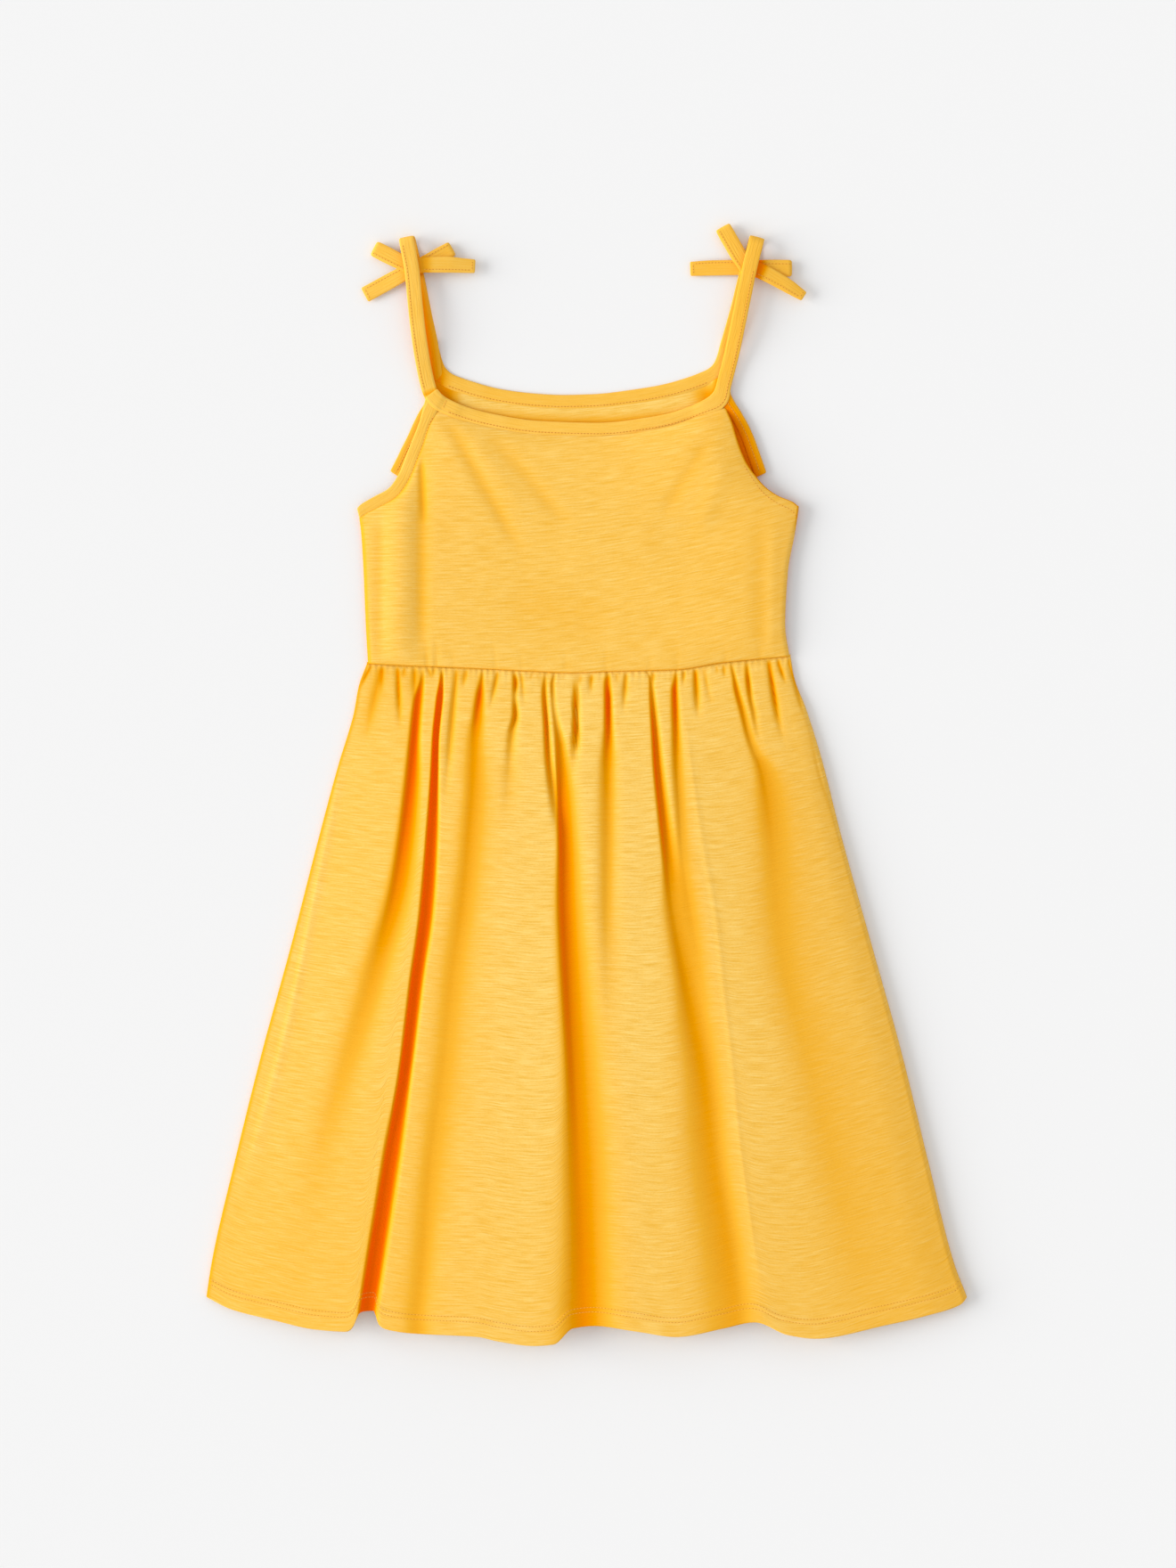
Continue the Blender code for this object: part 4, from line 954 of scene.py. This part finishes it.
width = right - left
x = left + BACK_INSET + from_left * (width - 2 * BACK_INSET) / width
top = np.dstack([x, skirt_y(downs, x, BACK_HEM), BACK_LOW + BACK_PLEAT * height])[::2, ::2]
under = top - [0, 0, CLOTH]
under[..., 2] = np.maximum(under[..., 2], 0)
print("cloth in the skirt, front and back, in square metres:", round(area(front_skirt_top), 3),
      round(area(top), 3))
panel = wall(top, under, slanted_rows(top, SKIRT_CURL), 0.9 * hollow[::2, ::2])
back_skirt = make_piece("back_skirt_cloth", panel, jersey)
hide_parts("back_skirt")

# %% [markdown]
# ## Strips
#
# Bindings, straps and bows are one kind of thing: a strip of jersey folded in
# four, pressed flat and stitched along. Its section is a flat oval, carried
# along a path. A bevelled curve would do for a straight one, but not for a
# strip that is given by its two edges, or for one whose stitching is pressed
# in, so each ring is worked out: across by v from -1 to 1, and up by the oval.

# %% Strip helpers
ACROSS = np.sin(np.linspace(-0.5, 0.5, 17) * np.pi)    # places across a strip, closest at its edges
AROUND = np.concatenate([ACROSS, ACROSS[-2:0:-1]])     # over the top from right to left, and back below
SIDE = np.concatenate([np.ones(len(ACROSS)), -np.ones(len(ACROSS) - 2)])
SQUARE, ROUND = 4.5, 2.0                               # how flat the oval is, and how round its edges
END = 1.1                                              # length over which a strip's end rounds off

Run = namedtuple("Run", "s middle left up width height")


def unit(vectors):
    """Vectors made one long."""
    return vectors / np.linalg.norm(vectors, axis=-1, keepdims=True)


def strip_run(path, spacing=1.6):
    """Even places along a strip's path, with the directions left and up at each, and its size there.

    The columns of a path are x, y, z, the strip's width, and the x and y of
    the direction to its left.
    """
    length = travelled(path[:, :3])
    tip = END * np.array([0, 0.12, 0.3, 0.6])
    even = np.linspace(END, length[-1] - END, max(int(length[-1] / spacing), 4))
    s = np.concatenate([tip, even, length[-1] - tip[::-1]])
    place = read_off(path, length, s)
    middle = place[:, :3]
    left = unit(np.column_stack([place[:, 4:], np.zeros(len(s))]))
    rounded = roll_down(np.minimum(s, length[-1] - s), END)
    width = place[:, 3] - 2 * END * (1 - rounded)
    return Run(s, middle, left, unit(np.cross(headings(middle), left)), width, BAND * (0.25 + 0.75 * rounded))


def oval(v):
    """Half the height of a strip at v across it, from 1 in the middle to 0 at both edges."""
    return np.clip(1 - np.abs(v) ** SQUARE, 0, 1) ** (1 / ROUND)


def on_strip(run, v):
    """The places on a strip's upper side at v across it."""
    return run.middle + run.left * (v * run.width / 2)[:, None] + run.up * (oval(v) * run.height / 2)[:, None]


def strip(run, press_v, hollow, press=0.12):
    """A closed strip: its oval section carried along, with a line of stitches pressed in at press_v.

    Its third argument gives the shade painted into its colour from s along the
    strip and v across it. A strip whose press_v is None has no stitches.
    """
    pressed = 0 if press_v is None else press * bump(AROUND - press_v, 0.1)
    rise = SIDE * (oval(AROUND) * run.height[:, None] / 2 - pressed)
    out = AROUND * run.width[:, None] / 2
    points = run.middle[:, None] + run.left[:, None] * out[..., None] + run.up[:, None] * rise[..., None]
    round_the_strip = np.where(SIDE > 0, out, run.width[:, None] - out)
    weave = np.dstack([run.s[:, None] + 0 * out, round_the_strip])
    depth = hollow(run.s[:, None], AROUND[None, :]) + np.zeros(out.shape)
    return Part(points, tube_faces(*out.shape), weave, depth)


def tube_faces(rings, around):
    """The sides of a tube of rings, and a cap at each end."""
    i = np.arange(rings * around).reshape(rings, around)
    side = np.stack([i[:-1], i[1:], np.roll(i[1:], -1, axis=1), np.roll(i[:-1], -1, axis=1)], axis=-1)
    return [side.reshape(-1, 4), i[:1], i[-1:, ::-1]]


def band_path(rows, z, inner_left=False):
    """The path of a strip between a band's two edges: the outer one is on its left, or the inner one."""
    outer, inner = band_edges(rows, 3)
    across = inner - outer if inner_left else outer - inner
    width = np.linalg.norm(across, axis=1)
    return np.column_stack([(outer + inner) / 2, z + 0 * width, width, across / width[:, None]])


print("a strip's section has", len(AROUND), "places")

# %% [markdown]
# ## Stitches
#
# A machine stitch shows as a short raised thread between two needle holes, and
# the holes show as dots of shade. Both are little rods with round ends, a long
# one for the thread and a short, sunk one for the hole, and a whole row is one
# mesh: one rod's faces, numbered on for every stitch.

# %% Stitch helpers
PITCH = 2.2                   # from one needle hole to the next
DASH, HOLE = 1.2, 0.9         # how much of that the thread and the hole cover
THREAD, HOLE_WIDTH = 0.36, 0.75
THREAD_SUNK, HOLE_SUNK = 0.1, 0.26    # how deep each lies in the cloth
ARCH = 0.16                           # how far the middle of a rod stands over its ends
RODS = np.array([-1.0, -0.8, 0.0, 0.8, 1.0])           # places along a rod
ROD_ROUND = np.array([0.25, 0.8, 1.0, 0.8, 0.25])      # how thick it is at each
ROD_SIDES = np.arange(5) * 2 * np.pi / 5


def rods(line, up, shift, length, thickness, sunk, shade):
    """A row of rods along a line that lies on the cloth, one for each stitch."""
    s = travelled(line)
    count = max(int(s[-1] / PITCH), 1)
    centre = (np.arange(count) + 0.5 + shift) * s[-1] / (count + 0.5)
    at = centre[:, None] + RODS * length / 2
    middle = np.stack([np.interp(at, s, column) for column in line.T], axis=-1)
    rise = unit(np.stack([np.interp(centre, s, column) for column in up.T], axis=-1))[:, None]
    side = np.cross(unit(middle[:, -1:] - middle[:, :1]), rise)
    middle = middle + rise * (ARCH * (1 - RODS**2) - sunk)[:, None]
    turn = np.cos(ROD_SIDES)[:, None] * side[:, :, None] + np.sin(ROD_SIDES)[:, None] * rise[:, :, None]
    points = middle[:, :, None] + turn * (thickness / 2 * ROD_ROUND)[:, None, None]
    size = len(RODS) * len(ROD_SIDES)
    first = (np.arange(count) * size)[:, None, None]
    faces = [(face + first).reshape(-1, face.shape[1]) for face in tube_faces(len(RODS), len(ROD_SIDES))]
    weave = np.stack([at[..., None] + 0 * ROD_SIDES, THREAD * ROD_SIDES / 2 + 0 * at[..., None]], axis=-1)
    return Part(points.reshape(-1, 3), faces, weave.reshape(-1, 2), np.full(count * size, shade))


def stitches(line, up):
    """A row of stitches along a line that lies on the cloth: threads, and the holes between them."""
    return joined([rods(line, up, 0.0, DASH, THREAD, THREAD_SUNK, 0.0),
                   rods(line, up, 0.5, HOLE, HOLE_WIDTH, HOLE_SUNK, 1.0)])


def strip_stitches(run, v, start=2.0, stop=2.0):
    """A row of stitches along a strip at v across it, from start to stop short of its ends."""
    keep = (run.s > start) & (run.s < run.s[-1] - stop)
    return stitches(on_strip(run, np.full(len(run.s), v))[keep], run.up[keep])


def stitches_across(run, s, start, stop):
    """A row of stitches across a strip, at s along it, from v = start to stop."""
    k = np.searchsorted(run.s, s)
    v = np.linspace(start, stop, 12)[:, None]
    line = run.middle[k] + v * run.width[k] / 2 * run.left[k] + oval(v) * run.height[k] / 2 * run.up[k]
    return stitches(line, np.tile(run.up[k], (len(v), 1)))


def draped(line, top):
    """A flat line's places with the height of the nearest place of a grid, and the way up there."""
    places = top.reshape(-1, 3)
    near = ((places[None, :, :2] - line[:, None]) ** 2).sum(axis=2).argmin(axis=1)
    return np.column_stack([line, places[near, 2]]), np.tile([0.0, 0.0, 1.0], (len(line), 1))


# %% [markdown]
# ## Bindings and straps
#
# The front neck binding runs on into the right strap as one strip: along the
# neck, round the corner, up to the bow, over its top and down behind. On the
# left the armhole's binding runs up past the corner instead, and the strap is
# sewn to its end. The straps stand off the surface where they pass over the
# bows, so the light leaves the run behind them in shade.

# %% Binding paths
STRAP_WIDTH = 10.0
STRAP_BACK_Z = 0.7
STRAP_OVER_BOW_Z = 10.0
STRAP_BACK_RISE = 4.0         # how far the run behind stands up halfway
STRAP_LEFT_FRONT = np.array([
    (-97.4, 176.6), (-101, 185), (-104.4, 200), (-107.4, 219), (-109.8, 240), (-112, 262.8),
    (-115.4, 281.6)])
STRAP_LEFT_BACK = np.array([
    (-114.2, 281.6), (-108.8, 258.6), (-103.8, 233.6), (-99.6, 213.6), (-96.4, 190)])
STRAP_RIGHT_FRONT = np.array([
    (97.4, 187.6), (102.8, 208.8), (106.8, 228), (110.6, 246.6), (114.6, 265.8), (118.6, 281.6)])
STRAP_RIGHT_BACK = np.array([(118.2, 281.6), (112.8, 262.8), (107.2, 240), (101.4, 219), (98.6, 209)])


def strap_path(front, back, low_z):
    """A strap's path: up in front, half a turn at the top, and down behind."""
    face, rear = along(front, 14), along(back, 12)
    fall = ease(np.linspace(1, 0, len(face)) / 0.5 - 0.95)
    face_z = STRAP_OVER_BOW_Z + fall * (low_z - STRAP_OVER_BOW_Z)
    radius = (STRAP_OVER_BOW_Z - STRAP_BACK_Z) / 2
    turn = np.linspace(0.5, -0.5, 11)[1:-1] * np.pi
    rise = headings(face)[-1]
    share = (1 - np.sin(turn)) / 2
    over = face[-1] + share[:, None] * (rear[0] - face[-1]) + radius * np.cos(turn)[:, None] * rise
    over_z = STRAP_BACK_Z + radius * (1 + np.sin(turn))
    xy = np.concatenate([face, over, rear])
    rear_z = STRAP_BACK_Z + STRAP_BACK_RISE * np.sin(np.pi * np.linspace(0, 1, len(rear)))
    z = np.concatenate([face_z, over_z, rear_z])
    up_the_dress = np.concatenate([headings(face), np.tile(rise, (len(over), 1)), -headings(rear)])
    left = np.column_stack([-up_the_dress[:, 1], up_the_dress[:, 0]])
    return np.column_stack([xy, z, np.full(len(z), STRAP_WIDTH), left])


# %% Bindings
UNDER_ARM_RIGHT = np.concatenate([             # its upper end is turned under the cloth
    [(101.4, 179, 99.6, 178.6), (102.2, 171.4, 100, 170.6), (102.8, 164.6, 98, 162.6)], FRONT_ARM_RIGHT[2:]])
NECK_END_LIFT = 0.6            # the neck binding's left end lies over the end of the left strap

neck_and_strap = np.concatenate([band_path(FRONT_NECK, FRONT_BAND_Z)[:-2],
                                 strap_path(STRAP_RIGHT_FRONT, STRAP_RIGHT_BACK, FRONT_BAND_Z)])
in_middle = ease((85 - np.abs(neck_and_strap[:, 0])) / 10) * (neck_and_strap[:, 1] < 200)
neck_and_strap[:, 2] -= NECK_LOW * in_middle
neck_and_strap[:6, 2] += NECK_END_LIFT
runs = {
    "front_neck": strip_run(neck_and_strap),
    "back_neck": strip_run(band_path(BACK_NECK, BACK_BAND_Z)),
    "front_arm_left": strip_run(band_path(FRONT_ARM_LEFT[1:], FRONT_BAND_Z - 0.25, inner_left=True)),
    "front_arm_right": strip_run(band_path(UNDER_ARM_RIGHT, FRONT_BAND_Z - 1.4)),
    "back_arm_left": strip_run(band_path(BACK_ARM_LEFT, BACK_BAND_Z, inner_left=True)),
    "back_arm_right": strip_run(band_path(BACK_ARM_RIGHT, BACK_BAND_Z + ARM_STANDS)),
    "strap_left": strip_run(strap_path(STRAP_LEFT_FRONT, STRAP_LEFT_BACK, FRONT_BAND_Z - 0.5))}
for name, run in runs.items():
    print(f"{name}: {run.s[-1]:.0f} mm long")

front_run = runs["strap_left"].s[-1] * 0.47            # where the left strap reaches its top
neck_end = runs["front_neck"].s[-1] - 2 * front_run

# %% The bindings as pieces
# Where each strip's stitches lie, as v across it. One strip has them off to its side, on the panel.
STITCHED = {"front_neck": -0.56, "strap_left": 0.6, "back_neck": -0.64, "front_arm_left": 0.84,
            "front_arm_right": None, "back_arm_left": 0.0, "back_arm_right": 0.0}
# A piece, its run, the nodes it stands for, and the shade painted into its colour at s along it and v across
# it.
BINDINGS = [
    ("front_neck_and_right_strap", "front_neck", ["front_neck_binding", "strap_right"],
     lambda s, v: 0.14 * ease((s - neck_end) / 20)),
    ("left_strap", "strap_left", ["strap_left"],
     lambda s, v: combined((0.62 + 0.36 * v) * ease((s - 1.17 * front_run) / 10), 0.5 * bump(s - 6.4, 1.4))),
    ("back_neck_band", "back_neck", ["back_neck_binding"],
     lambda s, v: combined(0.07, (0.62 - 0.36 * v) * ease(1 - (s - 22) / 14))),
    ("front_armhole_band_left", "front_arm_left", ["front_armhole_binding_left"], lambda s, v: 0.0),
    ("front_armhole_band_right", "front_arm_right", ["front_armhole_binding_right"], lambda s, v: 0.7),
    ("back_armhole_band_left", "back_arm_left", ["back_armhole_binding_left"], lambda s, v: 0.2),
    ("back_armhole_band_right", "back_arm_right", ["back_armhole_binding_right"],
     lambda s, v: 0.62 - 0.24 * v)]
for name, key, nodes, shade in BINDINGS:
    piece = make_piece(name, strip(runs[key], STITCHED[key], shade), binding_jersey)
    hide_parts(*nodes)

# %% [markdown]
# ## Bows
#
# Each strap is tied in a small bow. A loop is the strip laid out from the knot,
# turned under at its end and brought back below itself. A tail is one strip,
# hemmed across its end. The knot is the same strip wrapped round the middle,
# and the strap hides most of it.

# %% Bow tables
LOOP_TURN = 1.15              # half the height between a loop's two layers
# The columns of a loop or a tail are x, y, z and the strip's width, from the knot outwards.
LEFT_BOW = {
    "loop_out": [
        (-112, 265.8, 5.6, 9.4), (-121.8, 271, 5.2, 10.4), (-130, 275.2, 4.8, 10.8),
        (-136.6, 278.6, 4.4, 10.6)],
    "loop_in": [
        (-111.4, 265, 5.2, 9.4), (-103, 269.2, 4.8, 10.4), (-94, 274.2, 4.6, 10.6),
        (-86.6, 278.4, 4.4, 10.2)],
    "tail_out": [
        (-111, 265.6, 5.4, 9.4), (-120.4, 260.8, 4.4, 10.2), (-132, 254.6, 3.2, 10.6),
        (-144.3, 248, 2.4, 10.6)],
    "tail_in": [
        (-110.8, 266.6, 7.2, 9.6), (-103, 267.6, 7.3, 10.4), (-88, 267.8, 6.9, 10.8),
        (-80, 267.4, 6.2, 10), (-69.8, 266.9, 5.2, 9.2)]}
RIGHT_BOW = {
    "loop_up": [
        (114, 263.4, 5.6, 9.4), (106.2, 276.4, 5.4, 10.8), (101.4, 284.8, 5.2, 10.8),
        (97.2, 292.2, 5, 10.6)],
    "loop_out": [
        (113.4, 265.8, 5.4, 9.4), (122, 265.8, 5.2, 10.8), (132, 265.8, 5, 11.2), (141.4, 265.8, 4.8, 11)],
    "tail_in": [
        (113, 266.2, 3.4, 9.6), (104, 266.4, 2.8, 10.2), (90, 266.2, 2.4, 10.3), (74.8, 265.6, 2.2, 9.6)],
    "tail_out": [
        (114, 266.4, 7.2, 9.8), (123.6, 262.6, 7.3, 10.4), (138.4, 254.6, 6.8, 9.6),
        (151.2, 246.6, 5.2, 6.8)]}


# %% Bow parts
def leaf_path(rows):
    """A strip's path along a leaf's rows, with the direction to the left of the way they run."""
    path = refine(rows, 4)
    ahead = headings(path[:, :2])
    return np.column_stack([path, -ahead[:, 1], ahead[:, 0]])


def loop_path(rows):
    """A loop: a strip from the knot outwards, half a turn down, and back below itself."""
    out = leaf_path(rows)
    back = out[::-1].copy()
    back[:, 2] = np.maximum(back[:, 2] - 2 * LOOP_TURN, BAND / 2)
    turn = np.linspace(0.5, -0.5, 9)[1:-1] * np.pi
    end = np.tile(out[-1], (len(turn), 1))
    end[:, :2] += LOOP_TURN * np.cos(turn)[:, None] * headings(out[:, :2])[-1]
    end[:, 2] += LOOP_TURN * (np.sin(turn) - 1)
    end[:, 3] -= 0.7 * np.cos(turn)                    # drawn in a little at the turn
    return np.concatenate([out, end, back])


KNOT = (6.3, 6.6, 3.0)        # half sizes
KNOT_SQUARE = 0.75            # 1 is a plain ellipsoid, and less is boxier


def knot(x, y, z):
    """The wrapped middle: an ellipsoid squared off a little, ribbed round its long axis.

    A place is the sine and cosine of its two angles, each raised to a power
    with its sign kept.
    """
    polar = np.linspace(-0.48, 0.48, 17)[:, None] * np.pi
    turn = np.linspace(0, 2, 29)[None, :-1] * np.pi

    def power(value):
        return np.sign(value) * np.abs(value) ** KNOT_SQUARE

    rib = 1 + 0.03 * np.cos(7 * polar + 1.2 * np.sin(turn))
    points = np.dstack([x + KNOT[0] * rib * power(np.cos(polar)) * power(np.cos(turn)),
                        y + KNOT[1] * power(np.sin(polar)) + 0 * turn,
                        z + KNOT[2] * rib * power(np.cos(polar)) * power(np.sin(turn))])
    weave = np.dstack([KNOT[0] * turn + 0 * polar, KNOT[1] * polar + 0 * turn])
    # painted shade: the knot lies under the strap, so its colour is deepened
    return Part(points, tube_faces(17, 28), weave, 0.45 + 0 * turn + 0 * polar)


def bow(name, node, place, leaves, details):
    """A knot with its loops and tails as one piece, and the stitches along and across them.

    A leaf on the right lies in the strap's shade. details says the v of each leaf's
    stitches, its shade by the strap, and its shade at its end.
    """
    parts, rows = [knot(*place)], []
    for key, table in leaves.items():
        is_loop = key.startswith("loop")
        run = strip_run(loop_path(table) if is_loop else leaf_path(table), spacing=1.0)
        v_stitches, near, far = details[key]
        parts.append(strip(run, v_stitches, lambda s, v: far + (near - far) * ease(2.2 - s / 6.5),
                           press=0.06))
        rows.append(strip_stitches(run, v_stitches, 5.0, run.s[-1] / 2 + 0.8 if is_loop else 2.3))
        if not is_loop:
            rows.append(stitches_across(run, run.s[-1] - 2.6, -0.72, 0.72))
    piece = make_piece(name, joined(parts), binding_jersey)
    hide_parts(node)
    return joined(rows)


bow_stitches = [
    bow("left_bow", "bow_left", (-112.4, 266.0, 3.8), LEFT_BOW,
        {"loop_out": (0.62, 0.12, 0.05), "loop_in": (0.62, 0.5, 0.1),
         "tail_out": (-0.62, 0.12, 0.03), "tail_in": (-0.6, 0.4, 0.03)}),
    bow("right_bow", "bow_right", (114.0, 266.0, 3.8), RIGHT_BOW,
        {"loop_up": (0.62, 0.14, 0.1), "loop_out": (0.5, 0.85, 0.14),
         "tail_in": (-0.66, 0.14, 0.12), "tail_out": (-0.5, 0.8, 0.12)})]

# %% [markdown]
# ## Thread
#
# The dress is sewn with dyed cotton thread, a little deeper in colour than the
# cloth. It is two strands twisted together, which gives it slanting ridges.

# %% Thread
TWIST = 0.9865                # from one ridge of the twist to the next
TWIST_SLANT = 0.6             # radians between the ridges and a line straight across the thread
TWIST_HEIGHT = 0.05
WAVE_LENGTH = 0.1 * np.pi     # from band to band of Blender's wave at scale 1


def sewing_thread(name, light, dark, hole):
    """Dyed two-ply cotton thread: matt, with the twist as a slanting wave, and shaded in its holes."""
    material, tree = new_material(name)
    yarn = add(tree, "ShaderNodeUVMap", uv_map=MAP)
    slant = add(tree, "ShaderNodeMapping", {"Vector": yarn.outputs["UV"], "Rotation": (0, 0, TWIST_SLANT)})
    twist = add(tree, "ShaderNodeTexWave", {"Vector": slant.outputs[0], "Scale": WAVE_LENGTH / (TWIST * MM),
                                            "Distortion": 0.4}, wave_type="BANDS").outputs["Fac"]
    depth = add(tree, "ShaderNodeAttribute", attribute_name="hollow").outputs["Fac"]
    colour = linear(dark)
    for share, code in ((twist, light), (depth, hole)):
        colour = add(tree, "ShaderNodeMix", {0: share, 6: colour, 7: linear(code)},
                     data_type="RGBA").outputs[2]
    relief = add(tree, "ShaderNodeBump", {"Height": twist, "Distance": TWIST_HEIGHT * MM})
    cotton = add(tree, "ShaderNodeBsdfPrincipled", {"Base Color": colour, "Roughness": 0.7,
                                                    "Normal": relief.outputs["Normal"]})
    add(tree, "ShaderNodeOutputMaterial", {"Surface": cotton.outputs["BSDF"]})
    return material


thread = sewing_thread("cotton_sewing_thread", "#FFC95C", "#F4B040", "#D68A1E")

# %% Stitching
def sewn(key, start=2.0, stop=2.0):
    """The stitches along a binding, at the v where it is pressed in."""
    return strip_stitches(runs[key], STITCHED[key], start, stop)


grid_up = unit(np.cross(np.gradient(front_skirt_top, axis=0), np.gradient(front_skirt_top, axis=1)))
hem_rows = [len(downs) - len(TO_EDGE) + TO_EDGE.index(line) for line in HEM_STITCHES]
hem = joined([stitches(front_skirt_top[row, 2:-2], grid_up[row, 2:-2]) for row in hem_rows])
hem_stitches = make_piece("hem_stitches", hem, thread)

neck = joined([sewn("front_neck", 14, 1.06 * front_run), sewn("back_neck", 30, 30),
               stitches_across(runs["front_neck"], 11.5, -0.5, 0.8), sewn("strap_left", 8, 1.06 * front_run)])
neck_stitches = make_piece("neck_stitches", neck, thread)

outer, inner = band_edges(FRONT_ARM_RIGHT[3:], 6)
right_arm_line = outer + (inner - outer) * np.linspace(0.3, 0.75, len(outer))[:, None]
arms = joined([sewn("front_arm_left", 12), sewn("back_arm_left"), sewn("back_arm_right"),
               stitches(*draped(right_arm_line, front_bodice_top))])
arm_stitches = make_piece("armhole_stitches", arms, thread)
make_piece("bow_stitches", joined(bow_stitches), thread)
